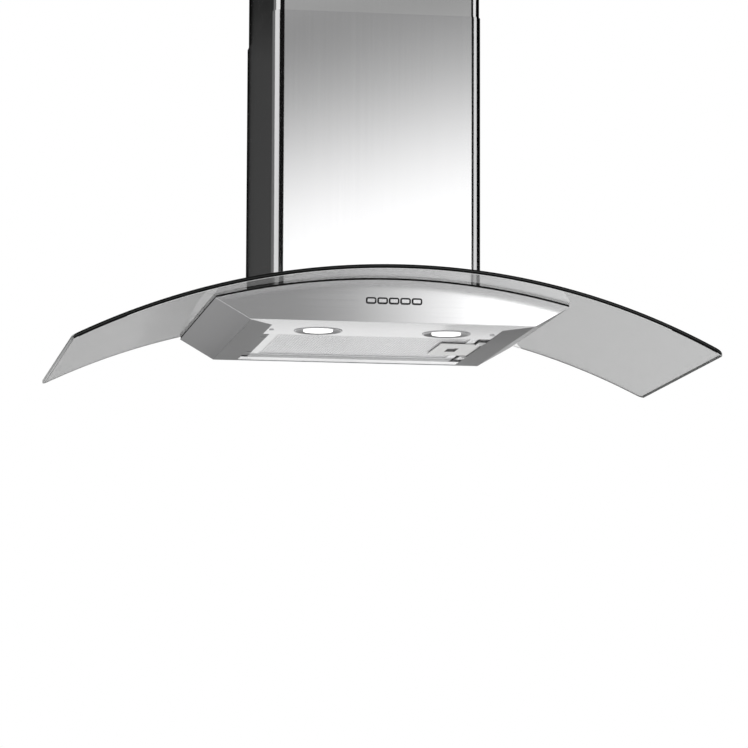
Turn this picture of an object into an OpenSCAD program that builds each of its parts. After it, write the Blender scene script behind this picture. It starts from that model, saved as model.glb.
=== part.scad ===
// Wall mount range hood: an arched glass canopy on a shallow steel body, with a telescopic chimney.
// X runs to the right, Y into the wall and Z up. The wall is the plane y = 0, the middle is x = 0,
// and z = 0 is the underside of the steel body.

/* [Glass canopy] */
// Width of the glass
glass_w = 900; // [820:10:1000]
// Depth of the glass at its sides
glass_d = 494; // [470:1:560]
// How far the front edge bows out at the middle
glass_bow = 20; // [8:1:40]
// Thickness of the glass
glass_t = 6; // [5:0.5:8]
// Radius of the arch, at the underside of the glass
arch_r = 1000; // [900:10:1300]
// Height of the underside of the glass at the middle
arch_z = 63; // [61:0.5:75]
// Radius of the four corners
glass_corner_r = 12; // [4:1:30]
// Gap between the glass and the wall
glass_wall_gap = 1; // [0.5:0.5:4]
// Thickness of the rubber strip under the glass
gasket_t = 3; // [2:0.5:4]
// Width of the rubber strip
gasket_w = 10; // [6:1:11]
// Thickness of the pads under the glass clamps
clamp_pad = 1; // [0.5:0.5:3]
// Thickness of the glass clamps
clamp_t = 2; // [1.5:0.5:2.5]
// Width of the glass clamps
clamp_w = 14; // [10:1:16]
// Height of the glass clamps' upright leaves
clamp_h = 25; // [15:1:40]
// Distance of the glass clamps' ends from the casing's front and the wall
clamp_end = 30; // [10:5:60]

/* [Steel body] */
// Width of the body at the underside
body_w = 396; // [390:1:410]
// Width of the body where it meets the glass
body_top_w = 495; // [480:1:520]
// Depth of the body from the wall
body_d = 427; // [420:1:450]
// Thickness of the body's sheet steel
sheet_t = 1.2; // [1:0.1:1.4]
// Width of the folded rim behind the fascia
front_rim = 46; // [40:1:50]
// Width of the folded rims at the sides
side_rim = 35; // [33:1:37]
// Distance of the filter opening from the wall
rear_rim = 40; // [36:1:46]
// Width of the strip that closes the rear
rear_strip_d = 30; // [26:1:32]
// Radius of the fold along the fascia's lower edge
fold_r = 1.2; // [0.5:0.1:1.2]
// Lap of the back panel's lower fold over the rear strip
rear_lap = 4; // [2:1:10]
// Height of the ledge beside the filter above the underside
ledge_z = 1.7; // [1.6:0.1:2.2]
// Width of the ledge beside the filter
ledge_w = 10.5; // [9:0.5:12]
// Height of the upright edge round the opening
upstand_h = 12; // [8:1:16]
// Width of the folds that carry the glass and the deck
fold_w = 12; // [11:1:16]
// Gap left at a mitred corner
mitre_gap = 0.3; // [0.2:0.1:0.6]

/* [Lamps] */
// Depth of the lamp panel
lamp_panel_d = 96; // [90:1:100]
// Distance of each lamp from the body's side
lamp_side = 107; // [93:1:128]
// Distance of the lamps behind the fascia
lamp_back = 98; // [90:1:100]
// Radius of the lamp's ring
lamp_ring_r = 34; // [32:0.5:36]
// Radius of the lens
lamp_lens_r = 20.5; // [18:0.5:23]
// How far the ring stands below the lamp panel
lamp_ring_t = 1; // [0.8:0.1:1.5]
// How far the lens stands below the ring
lamp_lens_drop = 1.2; // [0.8:0.1:2]
// Radius of the capsule bulb
bulb_r = 4.7; // [4:0.1:5.5]
// Thickness of the ring's sleeve and the reflector's wall
lamp_wall = 1; // [0.8:0.1:1.5]
// Distance of the lamp panel's screws from the edges of the ledges
panel_screw_in = 4; // [3.5:0.1:5]
// Width of the lamps' transformer
driver_w = 29; // [20:1:32]
// Length of the lamps' transformer
driver_l = 70; // [50:1:90]
// Height of the lamps' transformer
driver_h = 33; // [20:1:34]
// Gap between the transformer and the step of the rim
driver_gap = 2; // [1:0.5:4]

/* [Grease filter] */
// Gap round the filter
filter_gap = 1.5; // [1.2:0.1:2]
// Thickness of the filter
filter_t = 9; // [8.5:0.5:11]
// Width of the filter's aluminium frame
filter_bar = 12; // [9:1:14]
// Thickness of the filter frame's sheet
filter_sheet = 1; // [0.8:0.1:1.2]
// Thickness of each of the two faces of mesh
mesh_t = 1.2; // [0.8:0.1:1.6]
// Height of the hinge pins above the ledge
hinge_lift = 2.3; // [2.1:0.1:2.8]
// Distance of the hinge pins beyond the filter's edge
hinge_out = 7; // [6.8:0.1:7.2]
// Radius of the hinge pins
hinge_pin_r = 1.5; // [1.2:0.1:1.6]
// Distance of each hinge from the middle of the filter
hinge_span = 78; // [60:1:95]
// Width of each hinge arm
hinge_arm_w = 8; // [6:1:10]
// Thickness of each hinge arm
hinge_arm_t = 3; // [2:0.5:3.5]
// Thickness of the ears that hold the pins
hinge_ear_t = 2; // [1.5:0.5:3]

/* [Filter latch] */
// Length of the sliding plate, to the right
latch_l = 58.7; // [56:0.1:60]
// Width of the sliding plate, front to back
latch_w = 116; // [100:1:120]
// Thickness of the sliding plate
latch_t = 1.5; // [1.2:0.1:1.5]
// Distance of the latch's middle from the wall
latch_back = 158; // [150:1:164]
// Width of the finger slot
latch_slot_w = 15; // [12:1:17]
// Length of the finger slot
latch_slot_l = 38; // [30:1:42]
// Travel to open the latch
latch_pull = 6; // [4:0.5:6]
// Travel from rest to fully home over the side rim
latch_throw = 4; // [3:0.5:4]

/* [Push buttons] */
// Distance between two buttons
button_pitch = 16; // [15.6:0.1:18]
// Height of the buttons above the underside
button_z = 30.7; // [28:0.1:33]
// Width of a button
button_w = 12.4; // [11:0.1:12.6]
// Height of a button
button_h = 7; // [6:0.1:8]
// Height of a button's stem
stem_h = 4.4; // [3:0.1:5]
// Width of a button's stem
stem_w = 8; // [5:0.1:9]
// Radius of a button's corners
button_corner_r = 2.2; // [1:0.1:2.8]
// How far a button stands out of the fascia
button_proud = 1.5; // [1:0.1:2.5]
// Travel of a button
button_travel = 2; // [1.5:0.1:2.5]
// Width of the black ring round a button
button_ring = 0.9; // [0.6:0.1:1.1]
// Thickness of the black surround's plate
surround_t = 2; // [1.5:0.1:3]
// Depth of the switch block
switch_d = 23; // [20:1:30]
// Height of the switch block
switch_h = 18; // [14:1:20]

/* [Chimney] */
// Room at each side of the blower casing, out to the chimney's outer face, for the glass clamps
chimney_side_room = 20.5; // [19:0.5:25]
// Room in front of the blower casing, out to the chimney's outer face
chimney_front_room = 24; // [22:1:38]
// Radius of its upright edges
chimney_r = 16.5; // [10:0.5:20]
// Thickness of the chimney's sheet
chimney_t = 1; // [0.8:0.1:1.2]
// Width of the folds at the lower section's rear edges
return_w = 15; // [10:1:18]
// Height of the lower section's top edge
lower_top = 466.5; // [440:0.5:490]
// Height of the upper section's top edge, as stored
upper_top = 766; // [750:1:790]
// Length of the upper section
upper_len = 430; // [410:1:440]
// Gap between the two sections
chimney_gap = 0.5; // [0.4:0.1:1]
// Height of the wall bracket's strip
bracket_h = 20; // [16:1:24]
// Thickness of the wall bracket
bracket_t = 1.5; // [1.5:0.1:2]
// Distance between the wall bracket's holes
bracket_hole_gap = 200; // [150:5:230]

/* [Blower] */
// Width of the blower casing
casing_w = 260; // [256:1:264]
// Depth of the blower casing from the wall
casing_d = 262; // [260:1:264]
// Height of the blower casing
casing_h = 260; // [250:1:270]
// Width of the casing's bottom flange
casing_flange = 12; // [11:1:12]
// Distance of the fan's shaft from the wall
fan_back = 110; // [108:1:120]
// Distance of the fan's shaft below the casing's top
fan_drop = 145; // [140:1:150]
// Inner width of the scroll housing
scroll_w = 100; // [96:1:104]
// Gap between the impeller and the scroll at its tightest
scroll_gap = 7; // [6:0.5:9]
// Growth of the scroll's radius at each quarter turn
scroll_step = 7; // [5:0.5:8]
// Outer radius of the impeller
impeller_r = 65; // [60:0.5:66]
// Width of the impeller
impeller_w = 88; // [80:1:90]
// Number of impeller blades
blade_count = 32; // [24:1:36]
// Radius of the motor's shaft
shaft_r = 4; // [3:0.5:5]
// Radius of the motor
motor_r = 42; // [38:0.5:44]
// Length of the motor
motor_l = 52; // [46:1:54]
// Gap between the motor and the scroll
motor_gap = 15; // [12:1:16]
// Radius of the capacitor
capacitor_r = 15; // [10:0.5:18]
// Height of the capacitor
capacitor_h = 60; // [40:1:80]
// Thickness of the junction box, off the casing's side
box_w = 30; // [20:1:36]
// Width of the junction box
box_d = 70; // [50:1:80]
// Height of the junction box
box_h = 50; // [40:1:60]
// Radius of the inner leads
wire_r = 2; // [1:0.5:3]
// Distance of the switches' lead beyond the right lamp's middle
lead_side = 22.7; // [16:0.1:24]
// Radius of the mains cord that the gland takes
cord_r = 4; // [3:0.5:5]
// Radius of the outlet collar, outside
collar_r = 74.5; // [62:0.5:75]
// Height of the outlet collar
collar_h = 40; // [34:1:50]
// Thickness of the outlet collar
collar_t = 1.5; // [1.2:0.1:2.5]
// Radius of the damper's pin
damper_pin_r = 1.5; // [1:0.1:2]
// Thickness of the damper's flaps
damper_t = 1; // [0.8:0.1:1.5]
// Distance between the wall screws, across
wall_hole_w = 200; // [180:1:210]
// Distance between the wall screws, up
wall_hole_h = 190; // [180:1:195]
// Radius of the wall screws' holes
wall_hole_r = 4; // [3:0.5:5]

/* [Fits] */
// Gap between fixed pieces that lie together
seat = 0.1; // [0.05:0.05:0.2]
// Running clearance of a pin in its bore, on the radius
run = 0.07; // [0.04:0.01:0.1]
// Sliding clearance of a button or latch, on each side
slide = 0.2; // [0.15:0.05:0.3]
// Radius of the small screws
screw_r = 1.6; // [1.5:0.1:1.8]

/* [Hidden] */
$fn = 64;
arch_fn = 720;

// Arch: one centre line for the glass, the rubber, the folds and the deck
arch_c = arch_z - arch_r;
body_r = arch_r - gasket_t;
deck_r = body_r - sheet_t - seat;
deck_in_r = deck_r - sheet_t;
glass_r = arch_r + glass_t;
function arch_at(x, r) = arch_c + sqrt(r * r - x * x);

// Glass plan: the bowed front edge and the rounded corners that run into it
bow_r = (pow(glass_w / 2, 2) + pow(glass_bow, 2)) / (2 * glass_bow);
bow_c = bow_r - glass_d - glass_bow;
corner_x = glass_w / 2 - glass_corner_r;
corner_y = bow_c - sqrt(pow(bow_r - glass_corner_r, 2) - pow(corner_x, 2));
corner_out = 0.05;

// Body sides: a straight slope from the underside to the glass
side_rise = arch_at(body_top_w / 2, body_r);
side_run = (body_top_w - body_w) / 2;
side_len = norm([side_run, side_rise]);
body_tall = arch_z + 20;
function side_x(z, inset = 0) = body_w / 2 + (z * side_run - inset * side_len) / side_rise;

// Filter opening and what lies in it
open_x = body_w / 2 - side_rim;
open_front = front_rim - body_d;
ledge_x = open_x - ledge_w;
panel_fit = 0.4;
upstand_step = 4;
lamp_panel_z = ledge_z - seat - sheet_t;
panel_screw_x = ledge_x + panel_screw_in;
lamp_panel_back = open_front + lamp_panel_d;
lamp_y = lamp_back - body_d;
filter_x = ledge_x - filter_gap;
filter_front = lamp_panel_back + filter_gap;
filter_rear = -rear_rim - filter_gap;
filter_mid = (filter_front + filter_rear) / 2;
hinge_x = -filter_x - hinge_out;
hinge_z = ledge_z + sheet_t + hinge_lift;
hinge_ring_t = 1.1;
hinge_ring_r = hinge_pin_r + hinge_ring_t;
hinge_ear_gap = 1.5;
hinge_ear_r = 3;
hinge_slot_gap = 0.5;
hinge_y = [for (side = [-1, 1]) filter_mid + side * hinge_span];

// Latch, at rest just short of the side rim
latch_tip_gap = 0.3;
latch_right = open_x - latch_tip_gap;
latch_left = latch_right - latch_l;
latch_z = sheet_t + latch_tip_gap;
latch_top = latch_z + latch_t;
latch_slot_back = 33;
latch_slot_x = latch_right - latch_slot_back;
latch_slot_r = 2;
latch_slot_depth = 4.2;
latch_roof = 1;
latch_block_w = latch_slot_w + 7;
latch_block_l = latch_slot_l + 14;
latch_flange = 3;
latch_flange_h = 1.5;
latch_neck_h = latch_slot_depth + latch_roof - latch_t - latch_flange_h;
latch_wall = 1.2;
latch_play = 0.5;
latch_house_l = latch_block_l + 2 * (latch_flange + slide + latch_wall);
latch_house_x0 = latch_slot_x - latch_block_w / 2 - latch_pull - latch_play - latch_wall;
latch_house_x1 = latch_slot_x + latch_block_w / 2 + latch_throw + latch_play + latch_wall;
latch_spring_r = 1.2;
filter_z = latch_top + seat;
filter_top = filter_z + filter_t;

// Lamps, from the ring up to the socket
lamp_x = body_w / 2 - lamp_side;
lamp_ring_z = lamp_panel_z - lamp_ring_t;
lamp_rim_w = 2;
lamp_dish = 2.2;
lamp_web = 1;
lamp_dome = 1.4;
lamp_sleeve_r = lamp_ring_r - 3.2;
lamp_seat_z = lamp_ring_z + lamp_dish + lamp_web;
lamp_lens_z = lamp_ring_z - lamp_lens_drop;
lens_flange_t = 1;
lens_flange_r = lamp_sleeve_r - lamp_wall - slide;
lamp_ring_tall = 8;
reflector_z = lamp_seat_z + seat + lens_flange_t + 1;
reflector_top = 26;
reflector_neck_r = 12;
socket_top = 40;
socket_r = 11;
bulb_tip_z = 12;
bulb_top_z = 34;
driver_x1 = -open_x - sheet_t - driver_gap;

// Buttons, surround and switch block behind the fascia
button_count = 5;
fascia_back = sheet_t - body_d;
surround_w = button_pitch * (button_count - 1) + button_w + 12;
surround_h = button_h + 8;
hole_w = button_w + 2 * (slide + button_ring + seat);
hole_h = button_h + 2 * (slide + button_ring + seat);
switch_front = fascia_back + seat + surround_t + seat;
switch_wall = 2.5;
cap_flange = 0.7;
cap_flange_t = 1;
cap_over_travel = 0.5;
pocket_end = switch_front + cap_flange_t + button_travel + cap_over_travel;
stem_end = switch_front + switch_d / 2;
spring_end = switch_front + switch_d - switch_wall;
button_spring_r = 2;
spring_wire = 0.5;
function button_x(i) = (i - (button_count + 1) / 2) * button_pitch;

// Blower casing and fan
casing_z0 = arch_at(casing_w / 2 + casing_flange, deck_in_r) - seat - sheet_t;
casing_z1 = casing_z0 + casing_h;
casing_fit = 0.5;
notch_gap = 3;
fan_z = casing_z1 - fan_drop;
scroll_r = impeller_r + scroll_gap;
scroll_top = casing_z1 - sheet_t - seat;
cheek_in = scroll_w / 2 + seat;
cheek_out = cheek_in + sheet_t;
inlet_r = impeller_r - 15;
inlet_wall = 2;
blade_l = 11;
blade_t = 1;
blade_in = 0.5;
disc_t = 2;
shaft_press = 0.05;
hub_r = 12;
hub_l = 28;
motor_x1 = -scroll_w / 2 - motor_gap;
motor_x0 = motor_x1 - motor_l;
spider_r = motor_r + 0.3;
post_r = motor_r + 24;
motor_end_r = motor_r - 4;
motor_nose = 6;
motor_bore = 7;
motor_shaft_in = 8;
spider_back = 14;
spider_w = 10;
spider_wall = 4;
spider_arm = 8;
inlet_lip = 5;
inlet_flange = 8;
capacitor_front = 37;
capacitor_drop = 80;
capacitor_y = capacitor_front - casing_d;
capacitor_z = fan_z - capacitor_drop;
box_y = -60;
box_lift = 40;
box_z = fan_z + box_lift;
box_lid_t = 1.5;
gland_x = casing_w / 2 - 25;
gland_y = -40;
gland_r = cord_r + 5;
gland_step = 1;
gland_nut = 3;
gland_top = 14;
collar_y = -fan_back - (scroll_r + 2 * scroll_step) / 2;
collar_flange = 14;
collar_in_r = collar_r - collar_t;
throat_lap = 8;
damper_up = 16;
damper_z = casing_z1 + damper_up;
damper_gap = 1;
damper_rest = 0.3;
knuckle_r = damper_pin_r + 1.2;
knuckle_w = 12;
knuckle_x = 30;
flap_edge = knuckle_r + 0.3;
damper_lip = 2.5;
damper_lip_t = 1.5;
wall_hole_z = casing_z0 + casing_h / 2;
casing_screw_end = 30;
casing_screw_y = [for (i = [0:2]) -casing_screw_end - i * (casing_d - 2 * casing_screw_end) / 2];
casing_screw_x = casing_w / 2 + casing_flange / 2;
casing_screw_l = 2 * sheet_t + 2.6;

// Chimney, round the blower casing
chimney_w = casing_w + 2 * chimney_side_room;
chimney_d = casing_d + chimney_front_room;
chimney_back = 1;
upper_w = chimney_w - 2 * (chimney_t + chimney_gap);
upper_d = chimney_d - chimney_t - chimney_gap;
upper_back = chimney_back + 2 * chimney_t + chimney_gap;
chimney_lift = 0.3;
bracket_z = upper_top - bracket_h - 1;
tab_x = upper_w / 2 - chimney_t - seat;
tab_d = 24;
chimney_screw_y = -16;
chimney_screw_z = bracket_z + bracket_h / 2;

// A box from its lowest to its highest corner
module box(lo, hi) {
    translate(lo) cube(hi - lo);
}

// A shape drawn in X and Z, made solid from y0 to y1
module along_y(y0, y1) {
    translate([0, y1, 0]) rotate([90, 0, 0]) linear_extrude(y1 - y0) children();
}

// A shape drawn in Y and Z, made solid from x0 to x1
module along_x(x0, x1) {
    translate([x0, 0, 0]) rotate([90, 0, 90]) linear_extrude(x1 - x0) children();
}

// A rod along Y, X or Z
module rod_y(x, z, y0, y1, r) {
    along_y(y0, y1) translate([x, z]) circle(r = r);
}

module rod_x(y, z, x0, x1, r) {
    along_x(x0, x1) translate([y, z]) circle(r = r);
}

module rod_z(x, y, z0, z1, r) {
    translate([x, y, z0]) cylinder(h = z1 - z0, r = r);
}

// Rectangle with rounded corners, about its middle
module rounded(w, h, r) {
    square([w - 2 * r, h], center = true);
    square([w, h - 2 * r], center = true);
    for (i = [-1, 1], j = [-1, 1]) translate([i * (w / 2 - r), j * (h / 2 - r)]) circle(r = r);
}

// Arch and body outlines in X and Z
module arch_disc(r) {
    translate([0, arch_c]) circle(r = r, $fn = arch_fn);
}

module side_slopes(inset = 0) {
    foot = side_x(0, inset);
    head = side_x(body_tall, inset);
    polygon([[-foot, 0], [foot, 0], [head, body_tall], [-head, body_tall]]);
}

module body_outline(inset = 0) {
    intersection() {
        side_slopes(inset);
        arch_disc(body_r);
    }
}

// The fold under the rubber, as an arched strip of sheet
module top_fold_outline(inset = sheet_t) {
    difference() {
        body_outline(inset);
        arch_disc(body_r - sheet_t);
    }
}

// The room that the blower casing and its flange take in the body
module casing_room(extra, z0) {
    half = casing_w / 2 + extra;
    box([-half, -casing_d - extra, z0], [half, 1, z0 + casing_h]);
}

module glass_plan() {
    front = glass_d + glass_bow;
    difference() {
        intersection() {
            translate([0, bow_c]) circle(r = bow_r, $fn = 2 * arch_fn);
            translate([-glass_w / 2, -front - 1]) square([glass_w, front + 1 - glass_wall_gap]);
        }
        for (side = [-1, 1]) mirror([side < 0 ? 1 : 0, 0]) {
            translate([corner_x, corner_y]) difference() {
                translate([0, -2 * glass_corner_r]) square(2 * glass_corner_r);
                translate([corner_out, -corner_out]) circle(r = glass_corner_r);
            }
            translate([corner_x, -glass_wall_gap - glass_corner_r]) difference() {
                square(2 * glass_corner_r);
                translate([corner_out, corner_out]) circle(r = glass_corner_r);
            }
        }
    }
}

// Bent glass with a notch at the wall for the blower casing
module glass_canopy() {
    color([0.80, 0.86, 0.86, 0.4]) difference() {
        intersection() {
            along_y(-glass_d - glass_bow - 1, 0) difference() {
                arch_disc(glass_r);
                arch_disc(arch_r);
            }
            translate([0, 0, arch_c]) linear_extrude(arch_r + glass_t + 1) glass_plan();
        }
        casing_room(notch_gap, 0);
    }
}

// Rubber strip on the body's folds, and a pad under each glass clamp
module glass_gasket() {
    out_x = body_top_w / 2 - 1;
    front = 1 - body_d;
    color([0.12, 0.12, 0.12]) {
        difference() {
            along_y(front, -glass_wall_gap) intersection() {
                difference() {
                    arch_disc(arch_r - seat);
                    arch_disc(body_r + seat);
                }
                translate([-out_x, 0]) square([2 * out_x, 2 * arch_z]);
            }
            box([gasket_w - out_x, front + gasket_w, -1], [out_x - gasket_w, -glass_wall_gap - gasket_w, 2 * arch_z]);
            casing_room(casing_flange + 1, 0);
        }
        clamp_strip(glass_r + seat, glass_r + seat + clamp_pad);
    }
}

// A strip of arch beside the casing, on each side
module clamp_strip(r0, r1) {
    x0 = casing_w / 2 + seat;
    for (side = [-1, 1]) mirror([side < 0 ? 1 : 0, 0, 0]) {
        along_y(clamp_end - casing_d, -clamp_end) intersection() {
            difference() {
                arch_disc(r1);
                arch_disc(r0);
            }
            translate([x0 + notch_gap, 0]) square([clamp_w - notch_gap, 2 * arch_z]);
        }
    }
}

// Steel angles on the casing that hold the glass down
module glass_clamps() {
    x0 = casing_w / 2 + seat;
    low = glass_r + 2 * seat + clamp_pad;
    color([0.7, 0.7, 0.72]) for (side = [-1, 1]) mirror([side < 0 ? 1 : 0, 0, 0]) {
        along_y(clamp_end - casing_d, -clamp_end) intersection() {
            difference() {
                union() {
                    translate([x0, 0]) square([clamp_t, arch_z + glass_t + clamp_h]);
                    intersection() {
                        translate([x0, 0]) square([clamp_w, 2 * arch_z]);
                        arch_disc(low + clamp_t);
                    }
                }
                arch_disc(low);
            }
        }
    }
}

// Folded rim, mitred to the side rims, as seen from below
module front_rim_plan() {
    polygon([[-body_w / 2, -body_d], [body_w / 2, -body_d], [open_x, open_front], [-open_x, open_front]]);
}

module front_fascia() {
    color([0.80, 0.80, 0.81]) {
        difference() {
            along_y(-body_d, fascia_back) body_outline();
            for (i = [1:button_count]) along_y(-body_d - 1, fascia_back + 1) {
                translate([button_x(i), button_z]) rounded(hole_w, hole_h, button_corner_r + slide + button_ring);
            }
            lower_fold_cut();
        }
        along_y(fascia_back, fold_w - body_d) top_fold_outline();
        difference() {
            linear_extrude(sheet_t) front_rim_plan();
            lower_fold_cut();
        }
        box([-open_x, open_front - sheet_t, 0], [open_x, open_front, upstand_h - upstand_step]);
    }
}

// What the rounded fold takes off the fascia's lower edge
module lower_fold_cut() {
    along_x(-body_w, body_w) difference() {
        translate([-body_d - 1, -1]) square(fold_r + 1);
        translate([fold_r - body_d, fold_r]) circle(r = fold_r);
    }
}

// Right side panel: sloped wall, top fold, underside rim, ledge and upright edge
module side_panel() {
    ledge_top = ledge_z + sheet_t;
    difference() {
        union() {
            along_y(fascia_back, -sheet_t) difference() {
                body_outline();
                side_slopes(sheet_t);
                translate([-body_w, 0]) square([body_w, body_tall]);
            }
            along_y(fold_w - body_d + mitre_gap, -fold_w - mitre_gap) difference() {
                top_fold_outline(sheet_t / 2);
                translate([-body_w, 0]) square([body_w + body_top_w / 2 - fold_w, body_tall]);
            }
            box([open_x, fascia_back, 0], [body_w / 2, -sheet_t, sheet_t]);
            along_y(open_front + mitre_gap, -rear_rim - mitre_gap) {
                translate([open_x, 0]) square([sheet_t, ledge_top]);
                translate([ledge_x, ledge_z]) square([ledge_w + sheet_t, sheet_t]);
                translate([ledge_x, ledge_z]) square([sheet_t, upstand_h]);
            }
        }
        translate([0, mitre_gap, -1]) linear_extrude(sheet_t + 1) front_rim_plan();
        rod_z(panel_screw_x, lamp_y, ledge_z - 1, ledge_top + 1, screw_r + slide);
    }
}

// Slots in the left panel's ledge, where the filter's hinge arms swing through
module hinge_slots() {
    half = hinge_arm_w / 2 + hinge_slot_gap;
    for (y = hinge_y) {
        box([hinge_x - hinge_ring_r, y - half, sheet_t], [1 - ledge_x, y + half, hinge_z + hinge_ring_r + 1]);
    }
}

module left_side_panel() {
    color([0.62, 0.62, 0.63]) difference() {
        mirror([1, 0, 0]) side_panel();
        hinge_slots();
    }
}

// The right panel's ledge is cut away where the latch slides over its rim
module right_side_panel() {
    half = latch_w / 2 + 1;
    color([0.55, 0.55, 0.56]) difference() {
        side_panel();
        box([ledge_x - 1, -latch_back - half, sheet_t], [open_x + latch_throw + 1, -latch_back + half, latch_top + 0.5]);
    }
}

module back_panel() {
    half = casing_w / 2 + casing_flange + 1;
    color([0.6, 0.6, 0.61]) difference() {
        union() {
            along_y(-sheet_t, 0) body_outline();
            along_y(-fold_w, -sheet_t) top_fold_outline();
            box([mitre_gap - open_x, rear_strip_d - rear_rim - rear_lap, sheet_t + seat],
                [open_x - mitre_gap, -sheet_t, 2 * sheet_t + seat]);
        }
        box([-half, -fold_w - 1, casing_z0 - seat], [half, 1, 2 * arch_z]);
    }
}

module rear_strip() {
    color([0.85, 0.85, 0.86]) {
        box([mitre_gap - open_x, -rear_rim, 0], [open_x - mitre_gap, rear_strip_d - rear_rim, sheet_t]);
        box([mitre_gap - ledge_x, -rear_rim, 0], [ledge_x - mitre_gap, sheet_t - rear_rim, upstand_h]);
    }
}

// Arched deck under the glass, open where the blower casing stands
module top_deck() {
    gap = sheet_t + seat;
    color([0.68, 0.68, 0.69]) difference() {
        along_y(gap - body_d, -gap) difference() {
            intersection() {
                side_slopes(gap);
                arch_disc(deck_r);
            }
            arch_disc(deck_in_r);
        }
        casing_room(casing_fit, 0);
        casing_screw_holes();
    }
}

module lamp_panel() {
    half = open_x - panel_fit;
    color([0.82, 0.82, 0.83]) difference() {
        union() {
            box([-half, open_front + panel_fit, lamp_panel_z], [half, lamp_panel_back, lamp_panel_z + sheet_t]);
            box([mitre_gap - ledge_x, open_front + panel_fit, lamp_panel_z],
                [ledge_x - mitre_gap, open_front + panel_fit + sheet_t, upstand_h - upstand_step]);
            box([mitre_gap - ledge_x, lamp_panel_back - sheet_t, lamp_panel_z],
                [ledge_x - mitre_gap, lamp_panel_back, upstand_h]);
        }
        for (side = [-1, 1]) {
            rod_z(side * lamp_x, lamp_y, -1, upstand_h, lamp_sleeve_r + slide);
            rod_z(side * panel_screw_x, lamp_y, -1, upstand_h, screw_r + slide);
        }
    }
}

module lamp_panel_screws() {
    color([0.75, 0.75, 0.76]) for (side = [-1, 1]) {
        rod_z(side * panel_screw_x, lamp_y, lamp_panel_z - seat - 1, lamp_panel_z - seat, 2 * screw_r);
        rod_z(side * panel_screw_x, lamp_y, lamp_panel_z - seat - 0.5, ledge_z + 6, screw_r);
    }
}

// Ring with a dished face, held by a sleeve through the lamp panel
module lamp_ring(x) {
    color([0.5, 0.5, 0.52]) translate([x, lamp_y, 0]) rotate_extrude() polygon([
        [lamp_lens_r + seat, lamp_ring_z + lamp_dish],
        [lamp_ring_r - lamp_rim_w, lamp_ring_z],
        [lamp_ring_r, lamp_ring_z],
        [lamp_ring_r, lamp_panel_z - seat],
        [lamp_sleeve_r, lamp_panel_z - seat],
        [lamp_sleeve_r, reflector_z + lamp_ring_tall],
        [lamp_sleeve_r - lamp_wall, reflector_z + lamp_ring_tall],
        [lamp_sleeve_r - lamp_wall, lamp_seat_z],
        [lamp_lens_r + seat, lamp_seat_z]
    ]);
}

// Frosted lenses: shallow domes, each with a flange that rests on its ring
module lamp_lenses() {
    dome_r = (pow(lamp_lens_r, 2) + pow(lamp_dome, 2)) / (2 * lamp_dome);
    flange_z = lamp_seat_z + seat;
    color([0.97, 0.97, 0.95]) for (x = [-lamp_x, lamp_x]) translate([x, lamp_y, 0]) {
        intersection() {
            translate([0, 0, lamp_lens_z + dome_r]) sphere(r = dome_r, $fn = 240);
            translate([0, 0, lamp_lens_z - 1]) {
                cylinder(h = flange_z + lens_flange_t + 1 - lamp_lens_z, r = lamp_lens_r);
            }
        }
        translate([0, 0, flange_z]) cylinder(h = lens_flange_t, r = lens_flange_r);
    }
}

module lamp_reflectors() {
    color([0.85, 0.85, 0.87]) for (x = [-lamp_x, lamp_x]) translate([x, lamp_y, 0]) rotate_extrude() polygon([
        [lens_flange_r, reflector_z],
        [reflector_neck_r, reflector_top],
        [bulb_r + 1, reflector_top],
        [bulb_r + 1, reflector_top - lamp_wall],
        [reflector_neck_r - lamp_wall, reflector_top - lamp_wall],
        [lens_flange_r - lamp_wall, reflector_z]
    ]);
}

module lamp_bulbs() {
    color([0.95, 0.93, 0.85]) for (x = [-lamp_x, lamp_x]) translate([x, lamp_y, bulb_tip_z + bulb_r]) {
        sphere(r = bulb_r);
        cylinder(h = bulb_top_z - bulb_tip_z - bulb_r, r = bulb_r);
    }
}

module lamp_sockets() {
    color([0.92, 0.9, 0.85]) for (side = [-1, 1]) difference() {
        rod_z(side * lamp_x, lamp_y, reflector_top + seat, socket_top, socket_r);
        rod_z(side * lamp_x, lamp_y, reflector_top - 1, bulb_top_z + 0.3, bulb_r + slide);
    }
}

// Transformer for the lamps, on the left rim
module lamp_driver() {
    foot = sheet_t + seat;
    color([0.2, 0.2, 0.22]) {
        box([driver_x1 - driver_w, lamp_y - driver_l / 2, foot], [driver_x1, lamp_y + driver_l / 2, foot + driver_h]);
    }
}

// Frame of folded aluminium with the hinge arms on its left edge
module filter_frame() {
    inner_x = filter_x - filter_bar;
    color([0.78, 0.79, 0.8]) difference() {
        union() {
            difference() {
                box([-filter_x, filter_front, filter_z], [filter_x, filter_rear, filter_top]);
                box([-inner_x, filter_front + filter_bar, filter_z - 1], [inner_x, filter_rear - filter_bar, filter_top + 1]);
                box([filter_sheet - filter_x, filter_front + filter_sheet, filter_z + filter_sheet],
                    [filter_x - filter_sheet, filter_rear - filter_sheet, filter_top - filter_sheet]);
            }
            for (y = hinge_y) along_y(y - hinge_arm_w / 2, y + hinge_arm_w / 2) {
                translate([hinge_x, hinge_z]) circle(r = hinge_ring_r);
                translate([hinge_x, hinge_z - hinge_arm_t / 2]) square([hinge_out + filter_sheet / 2, hinge_arm_t]);
            }
        }
        for (y = hinge_y) {
            rod_y(hinge_x, hinge_z, y - hinge_arm_w, y + hinge_arm_w, hinge_pin_r + run);
            box([hinge_x - 2 * hinge_ring_r, y - hinge_arm_w, hinge_z - hinge_pin_r - run],
                [hinge_x, y + hinge_arm_w, hinge_z + hinge_pin_r + run]);
        }
        latch_room(seat);
    }
}

// The room in the filter for the latch's housing
module latch_room(gap) {
    half = latch_house_l / 2 + gap;
    box([latch_house_x0 - gap, -latch_back - half, filter_z - 1], [latch_house_x1 + gap, -latch_back + half, filter_top + 1]);
}

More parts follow.
